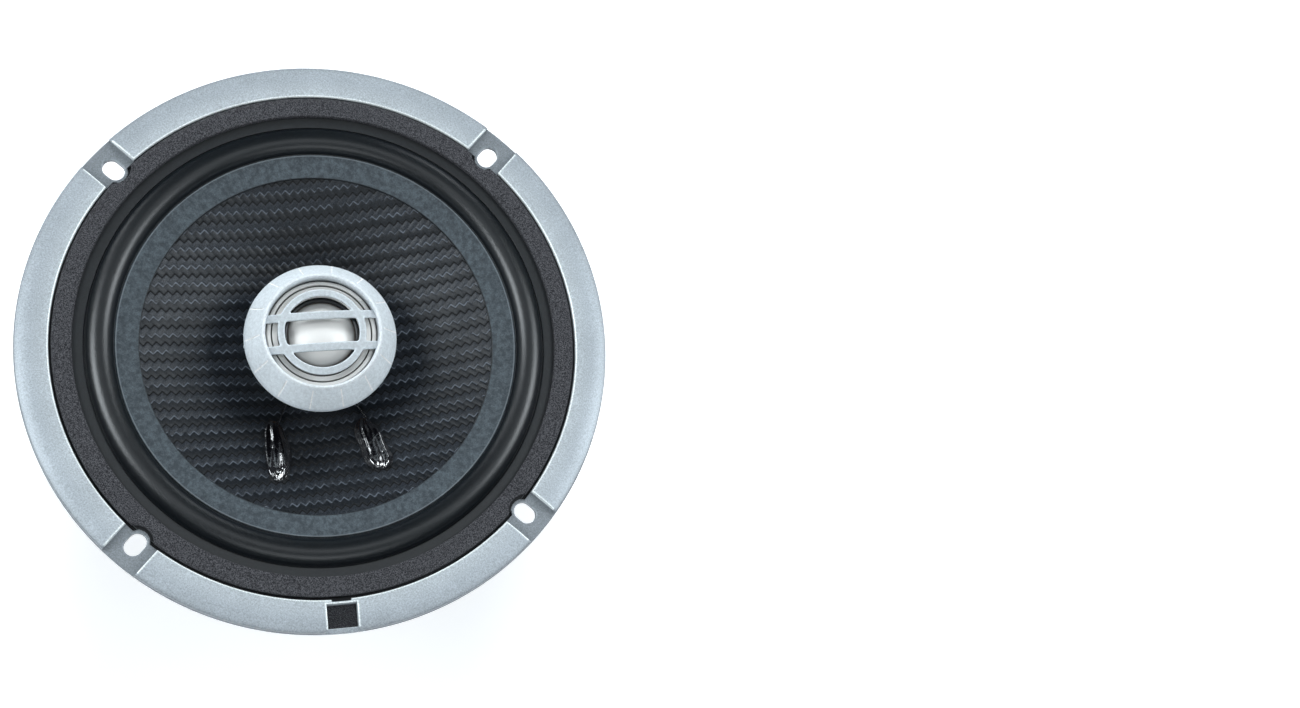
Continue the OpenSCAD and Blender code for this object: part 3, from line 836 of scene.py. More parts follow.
def rim_tone(points):
    """Paint tone: 0, painted shade, in the groove and under the gasket; 1 on the lands; 2 on the pads,
    painted lighter inside and darker outside as painted light; 3, a painted highlight, on edges.
    """
    r = radius_of(points)
    depth = pad_depth(points)
    # Painted light: the pads are lighter at their inner edge and darker towards the outer one.
    fall = np.interp(r, [PAD_IN, PAD_OUT - 1.2, PAD_OUT - 0.4, PAD_OUT], [2.2, 1.9, 1.5, 1.2])
    # Painted highlight along the pads' edges.
    edge = np.clip((0.62 - depth) / 0.25, 0, 1) * (depth > 0.06) * (r < PAD_OUT - 1)
    pad = fall + edge * (3 - fall)
    # Painted highlights round the slots and the window, and on the window's outer strip.
    hole_edge = np.clip(1 + (hole_depth(points) - 0.05) / 0.35, 0, 1)
    v, u = window_coordinates(points[:, 0], points[:, 1])
    strip = (v > LIP_OUT) & (np.abs(u) < WINDOW_HALF + CORNER)
    low_face = np.where(strip, 1.7, 1.0) + hole_edge
    tone = np.where(depth > 0.02, pad, low_face)
    # Painted shade: near black in the groove and on the flange under and beside the gasket, except round the
    # slot bosses.
    painted_shade_zone = (groove_depth(points) > 0.04) | ((r < GROOVE_IN) & (boss_distance(points) > 0))
    return np.where(painted_shade_zone, 0.0, tone)


def rim_back_tone(points):
    """Dark round the holes, so that their walls fall into shade, and plain elsewhere."""
    return np.clip(-hole_depth(points) / 0.5, 0, 1) * 1.5


def rim_bottom(points):
    """Height of the rim's back, with its edges broken."""
    edge = np.maximum(RIM_R - 0.5 - radius_of(points), -0.5)
    return np.maximum(-edge, 0) + rounded_edge(np.maximum(-hole_depth(points), 0), 0.15)


def rim_shell():
    """The rim with its pads, lands, screw slots and window."""
    groove = [74.46, 74.5, 74.56, 74.6, 74.8, 75.0, 75.2, 75.4, 75.52, 75.56]
    inner = [PAD_IN + d for d in (0, 0.03, 0.06, 0.1, 0.15, 0.22, 0.3, 0.42, 0.6, 0.69, 0.74, 0.82, 1.0,
        1.2, 1.36, 1.44)]
    steps = list(np.arange(77.3, 83.0, 0.36))
    outer = [PAD_OUT - d for d in (1.3, 1.1, 0.9, 0.7, 0.5, 0.36, 0.24, 0.15, 0.1, 0.06, 0.03, 0)]
    margin = [RIM_R - d for d in (0.14, 0.08, 0.03, 0)]
    seat = [SEAT_IN, 69.5, SEAT_OUT - 0.03, SEAT_OUT + 0.03, 72.5, 73.4, 73.6, 73.8, 74.0, 74.2, 74.36]
    radii = [*seat, *groove, *inner, *steps, 83.2, 83.5, *outer, *margin]
    edge = [0.0, 0.03, 0.07, 0.12, 0.18, 0.26, 0.36, 0.5, 0.8, 1.3]
    middle = list(np.arange(0, LAND_HALF - 0.1, 0.22))
    half = middle + [LAND_HALF - 0.04] + [LAND_HALF + d for d in edge]
    land = [-y for y in half[:0:-1]] + half
    gap_middle = [0, 0.6, 1.2, 1.8, 2.3, 2.6, 2.7, 2.76, 2.8, 2.84, 3.0, 3.4, 3.8, 4.0, 4.16]
    gap_half = gap_middle + [WINDOW_HALF + d for d in edge] + list(np.arange(5.7, 8.0, 0.25))
    gap = [-y for y in gap_half[:0:-1]] + gap_half
    zones = [(WINDOW_ANGLE, gap)] + [(turn, land) for turn in QUARTER_TURNS]
    points, cells = polar_grid(radii, zones, 1.6)
    points, cells = cut_cells(points, cells, hole_depth)

    def bottom(p):
        return np.where(radius_of(p) < SEAT_IN + 0.01, SEAT_Z - 0.6, rim_bottom(p))

    def inner_edge(point):
        return np.hypot(*point) < SEAT_IN + 0.5

    shell = plate("rim_shell", points, cells, rim_top, bottom, inner_edge, crease=math.radians(50))
    attribute(shell, "tone", np.concatenate([rim_tone(points), rim_back_tone(points)]))
    return shell


def lower_casting():
    """Skirt, spokes, cup and terminal tab: a copy of the casting's mesh without its rim."""
    source = frame["nodes"]["basket"]
    piece = add_object("lower_casting", source.data.copy())
    work = bmesh.new()
    work.from_mesh(piece.data)
    rim = [f for f in work.faces if any(math.hypot(v.co.x, v.co.y) > CASTING_R_M for v in f.verts)]
    bmesh.ops.delete(work, geom=rim, context="FACES")
    bmesh.ops.remove_doubles(work, verts=work.verts, dist=1e-6)
    flat = math.radians(1)
    bmesh.ops.dissolve_limit(work, angle_limit=flat, verts=work.verts, edges=work.edges, delimit={"NORMAL"})
    work.to_mesh(piece.data)
    work.free()
    soft = piece.modifiers.new("cast_edges", "BEVEL")
    soft.width = 0.35 * MM
    soft.segments = 2
    soft.angle_limit = math.radians(40)
    apply_modifiers(piece)
    piece.data.shade_smooth()
    piece.data.set_sharp_from_angle(angle=math.radians(42))
    attribute(piece, "tone", np.full(len(piece.data.vertices), 1.5))
    return piece


def apply_modifiers(piece):
    """Replaces a piece's mesh with its modified one."""
    bpy.context.view_layer.update()
    seen = piece.evaluated_get(bpy.context.evaluated_depsgraph_get())
    piece.data = bpy.data.meshes.new_from_object(seen)
    piece.modifiers.clear()


def build_basket():
    casting = join("basket_casting", [rim_shell(), lower_casting()])
    finish_piece(casting, "basket_silver", "chassis", "basket")


# ---- Foam gaskets ----

SCALLOP_R = 5.0
GASKET_IN = 69.3
GASKET_OUT = 74.9
GASKET_SHIFT = 0.25


def gasket_depth(points):
    """Negative inside the front gasket, whose outer edge is scalloped round the screw slots."""
    deepest = np.full(len(points), -FAR)
    for turn in QUARTER_TURNS:
        deepest = np.maximum(deepest, SCALLOP_R - from_land_centre(points, turn, SLOT_R))
    return deepest


def build_front_gasket():
    inner = [69.3, 69.34, 69.42, 69.55, 69.8]
    radii = [*inner, *np.arange(70.2, 74.4, 0.4), 74.5, 74.75, 74.88, 74.96, 75]
    half = list(np.arange(0, 6.5, 0.4))
    scallop = [-y for y in half[:0:-1]] + half
    zones = [(turn, scallop) for turn in QUARTER_TURNS]
    points, cells = polar_grid(radii, zones, 1.4)
    points, cells = cut_cells(points, cells, gasket_depth)

    def top(p):
        r = radius_of(p)
        a = np.arctan2(p[:, 1], p[:, 0])
        inside = np.minimum(np.minimum(r - GASKET_IN, GASKET_OUT - r), -gasket_depth(p))
        ripple = 0.05 * np.sin(5 * a + 0.4) + 0.04 * np.sin(23 * a) + 0.03 * np.sin(61 * a + r)
        return GASKET_TOP - 0.09 + ripple * 0.7 - rounded_edge(np.maximum(inside, 0), 0.3)

    def bottom(p):
        return np.full(len(p), FLANGE_TOP + 0.01)

    gasket = plate("front_gasket_foam", points, cells, top, bottom)
    gasket.data.transform(Matrix.Translation(from_view((0, GASKET_SHIFT * MM, 0))))
    finish_piece(gasket, "gasket_foam", "chassis", "front_gasket")


# ---- Surround ----

ROLL_MIDDLE = 62.0
ROLL_HALF = 4.0
ROLL_Z = 1.6
BEAD_R = 57.35
GLUE_R = CONE_OUT
GLUE_Z = CONE_TOP
CONE_R = 51.0
CONE_EDGE_Z = -0.2
NECK_R = 13.7
NECK_Z = -16.0


def cone_height(r):
    """The cone's front face, and the glue ring outside it."""
    reach = np.clip(r - NECK_R, 0, None) / (CONE_R - NECK_R)
    bowl = NECK_Z + (CONE_EDGE_Z - NECK_Z) * reach**0.92
    ring = CONE_EDGE_Z + (GLUE_Z - CONE_EDGE_Z) * (r - CONE_R) / (GLUE_R - CONE_R)
    return np.where(r < CONE_R, bowl, ring)


def build_surround():
    crown = SURROUND_TOP - ROLL_Z
    turn = np.linspace(math.pi, 0, 33)
    roll_top = [(ROLL_MIDDLE + ROLL_HALF * math.cos(a), ROLL_Z + crown * math.sin(a)) for a in turn]
    under = [(ROLL_MIDDLE + (ROLL_HALF - 0.7) * math.cos(a), ROLL_Z - 0.8 + (crown + 0.1) * math.sin(a))
        for a in turn[::-1]]
    inner = soften_open([(50.9, -0.2), (50.9, 0.5), (51.3, 0.6), (54, 1.35), (56.9, 2.14), (BEAD_R, 2.31),
        (57.6, 2.2), (57.75, 1.75)], 0.16)
    flange = soften_open([(66.15, 1.78), (66.4, 2.0), (SURROUND_OUT - 0.25, 2.0), (SURROUND_OUT, 1.8),
        (SURROUND_OUT, SEAT_Z), (SEAT_IN - 0.2, SEAT_Z)], 0.12)
    profile = [*inner, *roll_top[1:-1], *flange, *under[1:-1], (57.4, 0.8), (57.4, 1.45), (54, 0.62)]
    surround = lathe("surround_rubber", profile, columns=360)
    r = radius_of(vertex_array(surround))
    # The outer flange band stops short of both its edges, leaving painted shade at the roll's outer root and
    # a painted shadow line along the gasket's inner edge.
    outer_flange = np.clip((r - 66.5) / 0.3, 0, 1) * np.clip((68.9 - r) / 0.3, 0, 1)
    flat = np.clip((58.0 - r) / 0.3, 0, 1) + 0.85 * outer_flange
    # Painted highlight along the glue ring's bead.
    painted_bead_highlight = np.clip(1 - np.abs(r - BEAD_R) / 0.25, 0, 1) * 0.5
    # Painted shadow at the glue ring's inner rim, where the band drops to the roll's near-black.
    inner_edge = np.clip(1 - np.abs(r - 50.95) / 0.3, 0, 1)
    attribute(surround, "band", (flat + painted_bead_highlight) * (1 - inner_edge))
    finish_piece(surround, "black_rubber", None, "surround")
    blend_by_radius(surround)


# ---- Woven cone ----

TOW = 1.75
WEAVE_TURN = math.radians(3)
FLOAT_RISE = 0.085
TOW_CROWN = 0.075
SEAM_DEPTH = 0.07


def tow_coordinates(x, y):
    """Places counted in tows along the weave's two directions."""
    c = math.cos(WEAVE_TURN)
    s = math.sin(WEAVE_TURN)
    return (x * c + y * s) / TOW, (y * c - x * s) / TOW


def weave_relief(x, y):
    """Height of a two-by-two twill, and 1 where the tows along Y are on top."""
    a, b = tow_coordinates(x, y)
    column = np.floor(a)
    row = np.floor(b)
    rise_a = np.cos((b - column) * math.pi / 2)
    rise_b = np.cos((a - row - 3) * math.pi / 2)
    crown_a = 1 - (2 * (a - column) - 1) ** 4
    crown_b = 1 - (2 * (b - row) - 1) ** 4
    height_a = FLOAT_RISE * np.sign(rise_a) * np.abs(rise_a) ** 0.6 + TOW_CROWN * crown_a
    height_b = FLOAT_RISE * np.sign(rise_b) * np.abs(rise_b) ** 0.6 + TOW_CROWN * crown_b
    return np.maximum(height_a, height_b) - FLOAT_RISE, (height_a > height_b).astype(float)


def weave_seam(x, y):
    """1 where one end of a float dives under the next tow, -1 at its other end, 0.3 along its side."""
    c = math.cos(WEAVE_TURN)
    s = math.sin(WEAVE_TURN)
    reach = TOW * 0.12
    ahead = weave_relief(x - reach * (c + s), y + reach * (c - s))[1]
    behind = weave_relief(x + reach * (c + s), y - reach * (c - s))[1]
    a, b = tow_coordinates(x, y)
    beside = np.where(ahead > 0.5, np.abs(a - np.round(a)) < 0.1, np.abs(b - np.round(b)) < 0.1)
    return np.where(ahead > behind, -1.0, np.where(ahead < behind, 1.0, np.where(beside, 0.3, 0.0)))


def cone_cloth():
    """The front face: a square mesh along the tows, with the weave as real relief."""
    reach = 52.5
    step = TOW / 5
    half = math.ceil(reach / step) * step
    points, cells = square_grid(half, half, step)
    c = math.cos(WEAVE_TURN)
    s = math.sin(WEAVE_TURN)
    points = np.stack([points[:, 0] * c - points[:, 1] * s, points[:, 0] * s + points[:, 1] * c], axis=-1)

    def outside(p):
        return np.maximum(radius_of(p) - reach, NECK_R + 0.2 - radius_of(p))

    points, cells = cut_cells(points, cells, outside)
    relief, tow = weave_relief(points[:, 0], points[:, 1])
    seam = weave_seam(points[:, 0], points[:, 1])
    height = cone_height(radius_of(points)) + relief - SEAM_DEPTH * np.abs(seam)
    cloth = make_object("cone_front", np.column_stack([points, height]), [tuple(f) for f in cells])
    attribute(cloth, "tow", tow)
    attribute(cloth, "seam", seam)
    return cloth


def build_cone():
    radii = np.linspace(NECK_R + 0.1, GLUE_R, 34)
    thickness = 0.8
    back = [(r, float(cone_height(np.array(r))) - thickness) for r in radii]
    edge = [(GLUE_R, GLUE_Z), (52.6, float(cone_height(np.array(52.6))) - 0.05)]
    neck = [(FORMER_OUT, NECK_Z + 0.5), (FORMER_OUT, NECK_Z - 2.4), (NECK_R, NECK_Z - 2.4),
        (NECK_R, NECK_Z - 1.3)]
    collar = [(NECK_R + 0.4, NECK_Z + 0.3), (NECK_R, NECK_Z + 0.75), (FORMER_OUT, NECK_Z + 0.9)]
    shell = lathe("cone_back", [*collar, *neck, *back, *edge], columns=200, closed=False)
    for name in ("tow", "seam"):
        attribute(shell, name, np.zeros(len(shell.data.vertices)))
    cone = join("cone_cloth", [cone_cloth(), shell])
    finish_piece(cone, "cone_weave", "cone_assembly", "cone")


# ---- Leads and the glue over them ----

LEAD_U = 14.0
SIDES = {"left": -1, "right": 1}


def on_cone(v, u, lift):
    """A point of the window frame that stands lift over the cone."""
    return (v, u, float(cone_height(np.array(math.hypot(v, u)))) + lift)


def lead_path(side):
    return [(10.85, 7.6 * side, -29.4), (10.85, 7.6 * side, -24), (10.85, 7.6 * side, -18),
        (11, 7.7 * side, -15.6), (12.4, 8.5 * side, -14.9), on_cone(14.6, 9.8 * side, 0.45),
        on_cone(18.6, 11.8 * side, 0.45), on_cone(22.6, 13.4 * side, 0.5), on_cone(26.4, 14 * side, 0.5)]


def tinsel_path(side):
    return [on_cone(31, LEAD_U * side, -1.6), (31.6, 14 * side, -11.5), (34.4, 13.2 * side, -15.6),
        (39, 11.8 * side, -17.8), (44, 10.2 * side, -18.2), (46.6, 9.2 * side, -19),
        (48.2, 8.8 * side, -19.4)]


def glue_dab(name, side, start_v, end_v, half_width, lean, seed):
    """A long drop of glue over a lead: pointed at its inner end, full and lumpy outside."""
    wobble = np.random.default_rng(seed).uniform(0, ALL_ROUND, 6)
    turn = np.linspace(0, ALL_ROUND, 60, endpoint=False)
    rise = np.maximum(np.sin(turn), 0) ** 0.8
    rings = []
    for t in np.linspace(0, 1, 56):
        v = start_v + (end_v - start_v) * t
        inner_end = math.sqrt(max(0.0, 1 - max(0.0, 1 - t / 0.5) ** 2))
        outer_end = math.sqrt(max(0.0, 1 - max(0.0, (t - 0.74) / 0.26) ** 2))
        full = max(0.04, inner_end * outer_end)
        half = half_width * full * (1 + 0.05 * math.sin(11 * t + wobble[0]))
        tall = 2.7 * full * (0.75 + 0.25 * t) * (1 + 0.10 * math.sin(9 * t + wobble[1]))
        centre = LEAD_U * side + lean * (t - 0.6) + 0.2 * math.sin(6 * t + wobble[2])
        folds = 0.16 * np.cos(4 * turn + wobble[3] + 2.2 * t)
        ridge = 1 + folds + 0.10 * np.cos(9 * turn + wobble[4] - 3 * t)
        above = np.where(np.sin(turn) > 0, rise * tall * ridge, np.sin(turn) * 0.5)
        u = centre + half * np.cos(turn) * (1 + 0.05 * np.cos(5 * turn + wobble[5] + 3 * t))
        rings.append(np.stack([np.full(len(turn), v), u, cone_height(np.hypot(v, u)) + above], axis=-1))
    faces = grid_faces(len(rings), len(turn))
    faces.append(tuple(range(len(turn) - 1, -1, -1)))
    faces.append(tuple(range((len(rings) - 1) * len(turn), len(rings) * len(turn))))
    return from_window(tidy_mesh(make_object(name, np.concatenate(rings), faces, crease=math.radians(80))))


DABS = {"left": {"start_v": 19.6, "end_v": 39.8, "half_width": 3.7, "lean": 0.6, "seed": 2},
    "right": {"start_v": 20.6, "end_v": 38.2, "half_width": 4.1, "lean": 3.4, "seed": 5}}


def build_leads():
    """The coil leads, the glue over them, and the tinsel that bends between the cone and the blades."""
    for name, side in SIDES.items():
        lead = from_window(tube(f"coil_lead_{name}_wire", lead_path(side), 0.27))
        finish_piece(lead, "lead_cover", "cone_assembly", f"coil_lead_{name}")
        dab = glue_dab(f"lead_dab_{name}_glue", side, **DABS[name])
        finish_piece(dab, "lead_cover", "cone_assembly", f"lead_dab_{name}")
        braid = from_window(tube(f"tinsel_lead_{name}_braid", tinsel_path(side), 0.62, steps=10))
        finish_piece(braid, "tinsel", None, f"tinsel_lead_{name}")
        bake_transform(braid)


# ---- Spider ----

LEDGE_Z = -22.0
FIRST_WAVE_R = 16
LAST_WAVE_R = 36
WAVE_PITCH = 4
SPIDER_FLAT_R = 36.8


def build_spider():
    def wave(r):
        inside = (r >= FIRST_WAVE_R) & (r <= LAST_WAVE_R)
        return LEDGE_Z + 0.35 + np.where(inside, 1.1 * np.sin(ALL_ROUND * (r - FIRST_WAVE_R) / WAVE_PITCH), 0)

    radii = np.linspace(14, SPIDER_FLAT_R, 140)
    top = [(r, z + 0.5) for r, z in zip(radii, wave(radii))]
    bottom = [(r, z) for r, z in zip(radii[::-1], wave(radii[::-1]))]
    collar = [(FORMER_OUT, LEDGE_Z), (FORMER_OUT, LEDGE_Z + 2), (13.3, LEDGE_Z + 2), (13.45, LEDGE_Z + 1.3)]
    flange = [(37, LEDGE_Z + 0.5), (SPIDER_OUT, LEDGE_Z + 0.5), (SPIDER_OUT, LEDGE_Z), (37, LEDGE_Z)]
    spider = lathe("spider_cloth", [*collar, *top, *flange, *bottom], columns=220)
    finish_piece(spider, "spider_cloth", None, "spider")
    blend_by_radius(spider)


# ---- Tweeter bezel and guard ----

MARKS = 14
MARK_PITCH = ALL_ROUND / MARKS
BAR_V = 4.65
BAR_HALF = 1.15
GUARD_IN = 10.6
GUARD_OUT = 12.6
GUARD_SPHERE = 66.0
GUARD_TOP = 14.7
RECESS_R = 16.1
LIP_Z = 14.3


def bezel_profile():
    bevel = [(BEZEL_R - 0.15 - 4.4 * t, 6.9 + 6.7 * t**0.9) for t in np.linspace(0, 1, 22)]
    outline = [(20.1, BEZEL_BACK), (BEZEL_R - 1, BEZEL_BACK + 0.1), (BEZEL_R - 0.3, 4.7), (BEZEL_R, 5.7),
        (BEZEL_R, 6.5)]
    rest = [(17, 14.1), (16.6, LIP_Z), (16.25, LIP_Z - 0.15), (RECESS_R, LIP_Z - 0.5), (RECESS_R - 0.3, 10.4),
        (17.2, 10.4), (20.1, 7.2)]
    return [*soften(outline, 0.3)[2:], *bevel, *soften(rest, 0.14)]


def beside_mark(r, a):
    """Distance from the nearest radial mark's middle line."""
    return np.abs((a - WINDOW_ANGLE) % MARK_PITCH - MARK_PITCH / 2) * r


def engraved(r, z, a):
    """Sinks the radial marks into the bevel."""
    away = beside_mark(r, a)
    groove = np.clip(1 - (away / 0.26) ** 2, 0, 1)
    reach = np.clip((BEZEL_R - 0.75 - r) / 0.4, 0, 1) * np.clip((r - 17.9) / 0.3, 0, 1) * (z > 7)
    depth = 0.24 * groove * reach
    return r - depth * 0.8, z - depth * 0.6


def bezel_shell():
    """The moulding round the guard, with stored tones: painted highlights on its marks and lip, and painted
    shade in its recess.
    """
    near = np.array([-0.6, -0.34, -0.26, -0.18, -0.09, 0, 0.09, 0.18, 0.26, 0.34, 0.6]) / 19.5
    angles = []
    for k in range(MARKS):
        middle = WINDOW_ANGLE + (k + 0.5) * MARK_PITCH
        angles += list(middle + near)
        angles += list(np.linspace(middle + near[-1], middle + MARK_PITCH + near[0], 16)[1:-1])
    sharp = math.radians(60)
    shell = lathe("bezel_shell", bezel_profile(), angles=np.array(angles), shape=engraved, crease=sharp)
    place = vertex_array(shell)
    r = radius_of(place)
    z = place[:, 2]
    away = beside_mark(r, np.arctan2(place[:, 1], place[:, 0]))
    # Painted highlights on the marks and the lip, and painted shade down the recess wall.
    mark = np.clip(1 - (away - 0.12) / 0.2, 0, 1) * (r > 17.7) * (r < BEZEL_R - 0.3) * (z > 6.9)
    lip = np.clip((17.6 - r) / 0.4, 0, 1) * (z > LIP_Z - 0.5)
    recess = (r < RECESS_R + 0.05) * np.clip((LIP_Z - 0.7 - z) / 0.6, 0, 1)
    attribute(shell, "tone", 2 + np.maximum(mark, 0.25 * lip) - 1.9 * recess)
    return shell


def guard_depth(points):
    """Negative inside the guard: two bars and a ring, with small fillets where they meet."""
    r = radius_of(points)
    ring = np.abs(r - (GUARD_IN + GUARD_OUT) / 2) - (GUARD_OUT - GUARD_IN) / 2
    bars = np.abs(np.abs(points[:, 0]) - BAR_V) - BAR_HALF
    shape = smooth_min(ring, bars, 0.7)
    lip = RECESS_R + 0.05 - r
    shape = smooth_min(shape, lip, 0.5)
    return np.maximum(shape, r - (RECESS_R + 0.35))


def build_bezel():
    points, cells = square_grid(16.8, 16.8, 0.21)
    points, cells = cut_cells(points, cells, guard_depth)

    def dome(p):
        return GUARD_TOP - GUARD_SPHERE + np.sqrt(GUARD_SPHERE**2 - radius_of(p) ** 2)

    def top(p):
        return dome(p) - rounded_edge(np.maximum(-guard_depth(p), 0), 0.42) - 0.02

    def bottom(p):
        return dome(p) - 1.4 + rounded_edge(np.maximum(-guard_depth(p), 0), 0.2)

    guard = from_window(plate("guard", points, cells, top, bottom, crease=math.radians(60)))
    # Painted highlight along the guard's top edges, and painted shade on its underside.
    edge = np.clip(1 - (-guard_depth(points) - 0.1) / 0.4, 0, 1)
    attribute(guard, "tone", np.concatenate([1.35 + 0.75 * edge, np.full(len(points), 0.2)]))
    nub = from_window(tube("gate_nub", [(1.2, -BEZEL_R + 0.6, 5.6), (1.3, -BEZEL_R, 5.7)], 0.45))
    attribute(nub, "tone", np.full(len(nub.data.vertices), 2.0))
    bezel = join("bezel_and_guard", [bezel_shell(), guard, nub])
    finish_piece(bezel, "bezel_silver", "chassis", "tweeter_bezel")


def build_face_ring():
    """Two turned steps with a narrow groove beside each."""
    groove = 9.9
    steps = [(10.9, FACE_BACK), (FACE_R, FACE_BACK), (FACE_R, 10.7), (15.4, 11), (14.5, 11), (14.35, groove),
        (14.15, groove), (14, 10.9), (12.7, 10.7), (12.5, groove), (12.2, groove), (12, 10.6), (11.1, 10.6),
        (10.9, 10.3)]
    ring = lathe("face_ring_turned", soften(steps, 0.09), columns=200)
    # Painted shade in the grooves and on the lowest steps.
    attribute(ring, "painted_shade", np.clip((10.4 - vertex_array(ring)[:, 2]) / 0.3, 0, 1))
    finish_piece(ring, "bright_metal", "chassis", "tweeter_face_ring")


def build_dome():
    radius = 9.5
    rise = 2.8
    sphere = (radius * radius + rise * rise) / (2 * rise)
    centre_z = DOME_BACK + rise - sphere
    inner_sphere = sphere - 0.3
    arc = np.linspace(0, math.asin(radius / sphere), 28)
    outer = [(sphere * math.sin(a), centre_z + sphere * math.cos(a)) for a in arc]
    inner = [(inner_sphere * math.sin(a), centre_z + inner_sphere * math.cos(a)) for a in arc[::-1]]
    inner = [(r, max(z, DOME_BACK)) for r, z in inner]
    dome = lathe("tweeter_dome_metal", [*outer, *inner], columns=160)
    # Painted shade round the dome's rim.
    attribute(dome, "painted_shade", np.clip((radius_of(vertex_array(dome)) - 8.5) / 1.5, 0, 1))
    finish_piece(dome, "bright_metal", "tweeter_diaphragm", "tweeter_dome")


def build_tweeter_surround():
    base = DOME_BACK
    roll = soften([(9.6, base), (9.6, base + 0.3), (9.9, base + 0.7), (10.3, base + 0.8), (10.7, base + 0.6),
        (10.8, base + 0.2), (13.2, base + 0.2), (13.2, base - 0.1), (11, base - 0.1), (10.6, base),
        (10.3, base + 0.5), (9.9, base + 0.3), (9.8, base)], 0.12)
    edge = lathe("tweeter_surround_rubber", roll, columns=160)
    attribute(edge, "band", np.zeros(len(edge.data.vertices)))
    finish_piece(edge, "black_rubber", None, "tweeter_surround")
    blend_by_radius(edge)


# ---- Wiring, terminals and crossover ----

WIRE_DOWN = [(14.4, 3, 8.5), (15.2, 3, 7), (15.2, 2.9, 4.4), (14, 2.4, 2), (11, 1.6, 1.1), (6, 1, 1.1),
    (3.2, 0.9, 0.9), (1.4, 0.8, -0.6), (0.8, 0.8, -4), (0.8, 0.8, -20), (0.8, 0.8, -38),
    (0.8, 0.8, -52), (1.2, 0.8, -54.6), (3, 0.8, -55.8), (7, 0.8, -55.9), (22, 0.8, -55.9),
    (38, 0.8, -55.9), (44.4, 0.8, -55.6), (46.8, 0.8, -53.4), (47, 0.8, -48)]
POSITIVE_UP = [(46.6, 0.6, -41), (44.8, 0.2, -34), (43.8, 0, -30.6), (44.3, 0, -29.2), (45.2, 0, -29)]
NEGATIVE_UP = [(47, -1.2, -42), (47, -3.4, -37.6), (47.5, -8, -34), (48.6, -12.2, -30.4), (49, -13, -27),
    (49, -13, -23.5), (49, -12.9, -20.9), (49.1, -11.8, -19.5), (49.3, -10.2, -19.5)]
BLADE_U = 9.0


def build_wiring():
    positive = from_window(tube("wire_positive_sleeve", WIRE_DOWN + POSITIVE_UP, 0.6))
    finish_piece(positive, "red_insulation", "chassis", "tweeter_wire_positive")
    mirrored = [(v, -u, z) for v, u, z in WIRE_DOWN]
    negative = from_window(tube("wire_negative_sleeve", mirrored + NEGATIVE_UP, 0.6))
    finish_piece(negative, "black_insulation", "chassis", "tweeter_wire_negative")


def blob(name, centre, size, height, seed):
    """A rounded drop standing on a face that looks along Z."""
    wobble = np.random.default_rng(seed).uniform(0, ALL_ROUND, 3)
    turn = np.linspace(0, math.pi / 2 - 0.001, 9)
    profile = [(size * math.cos(t) ** 0.8, height * math.sin(t)) for t in turn]

    def lumpy(r, z, a):
        return r * (1 + 0.12 * np.sin(2 * a + wobble[0]) + 0.07 * np.sin(3 * a + wobble[1])), z

    drop = lathe(name, [(0, 0), *profile, (0, height)], columns=28, closed=False, shape=lumpy)
    drop.data.transform(Matrix.Translation(Vector(centre) * MM))
    return drop


def build_solder():
    """Solder where the leads meet the terminal blades and where the wires meet the tags."""
    spots = [((48.2, BLADE_U, BLADE_TOP - 0.1), 1.5, 0.9), ((48.2, -BLADE_U, BLADE_TOP - 0.1), 1.3, 0.9),
        ((61.2, 8, BLADE_TOP - 0.1), 0.9, 0.5)]
    drops = [blob(f"solder_{k}", centre, size, height, k) for k, (centre, size, height) in enumerate(spots)]
    solder = from_window(join("terminal_solder", drops))
    finish_piece(solder, "nickel", "chassis")


CAN_V = 47.0
CAN_Z = -29.0
CAN_END = 11.85


def build_capacitor():
    can = soften([(0, 0), (3.4, 0), (3.9, 0.5), (3.7, 1.2), (4, 1.7), (4, 11.6), (3.5, 12), (2.6, 12),
        (2.4, CAN_END), (0, CAN_END)], 0.22)
    body = lathe("capacitor_can", can[2:-2] + [np.array([0.0, CAN_END])], columns=96, closed=False)
    body.data.transform(Matrix.Rotation(math.pi / 2, 4, "Y"))
    body.data.transform(Matrix.Translation(Vector((CAN_V, 0, CAN_Z)) * MM))
    finish_piece(from_window(body), "capacitor_sleeve", "chassis", "crossover_capacitor")
    stub = tube("capacitor_stub", [(45.6, 0, CAN_Z), (46.3, 0, CAN_Z), (CAN_V, 0, CAN_Z)], 0.35)
    tail = tube("capacitor_tail", [(59.0, 0, CAN_Z), (60.2, 0, -28.9), (61, 2, -27.2), (61.2, 6, -24),
        (61.2, 7.8, -22.2), (61.2, 8, -21.1)], 0.35)
    leads = from_window(join("capacitor_lead_wires", [stub, tail]))
    finish_piece(leads, "plated_steel", "chassis", "capacitor_leads")


def build_capacitor_adhesive():
    """A bead that beds the capacitor against the terminal board."""
    half_v = 4.6
    half_u = 2.7
    points, cells = square_grid(half_v, half_u, 0.3)

    def pad(p):
        away = np.hypot(p[:, 0] / half_v, p[:, 1] / half_u)
        return (away - 1 - 0.05 * np.sin(7 * p[:, 0]) * np.cos(5 * p[:, 1])) * half_u

    def top(p):
        return np.full(len(p), -24.52)

    def bottom(p):
        return -24.9 - np.clip(-pad(p) / half_u, 0, 1) ** 0.5

    points, cells = cut_cells(points, cells, pad)
    bead = plate("capacitor_bead", points, cells, top, bottom)
    bead.data.transform(Matrix.Translation(Vector((52.9, 0, 0)) * MM))
    finish_piece(from_window(bead), "pale_adhesive", "chassis", "capacitor_adhesive")


# ---- CAD nodes that keep their own shape ----

SOFT_EDGES = {"terminal_positive": 0.12, "terminal_negative": 0.12, "terminal_board": 0.12, "post_nut": 0.3,
    "post_washer": 0.1, "basket_rivets": 0.2, "terminal_rivets": 0.12, "tweeter_tags": 0.08,
    "tweeter_housing": 0.2, "tweeter_post": 0.2, "top_plate": 0.2, "back_plate_and_pole": 0.2,
    "rear_gasket": 0.2}


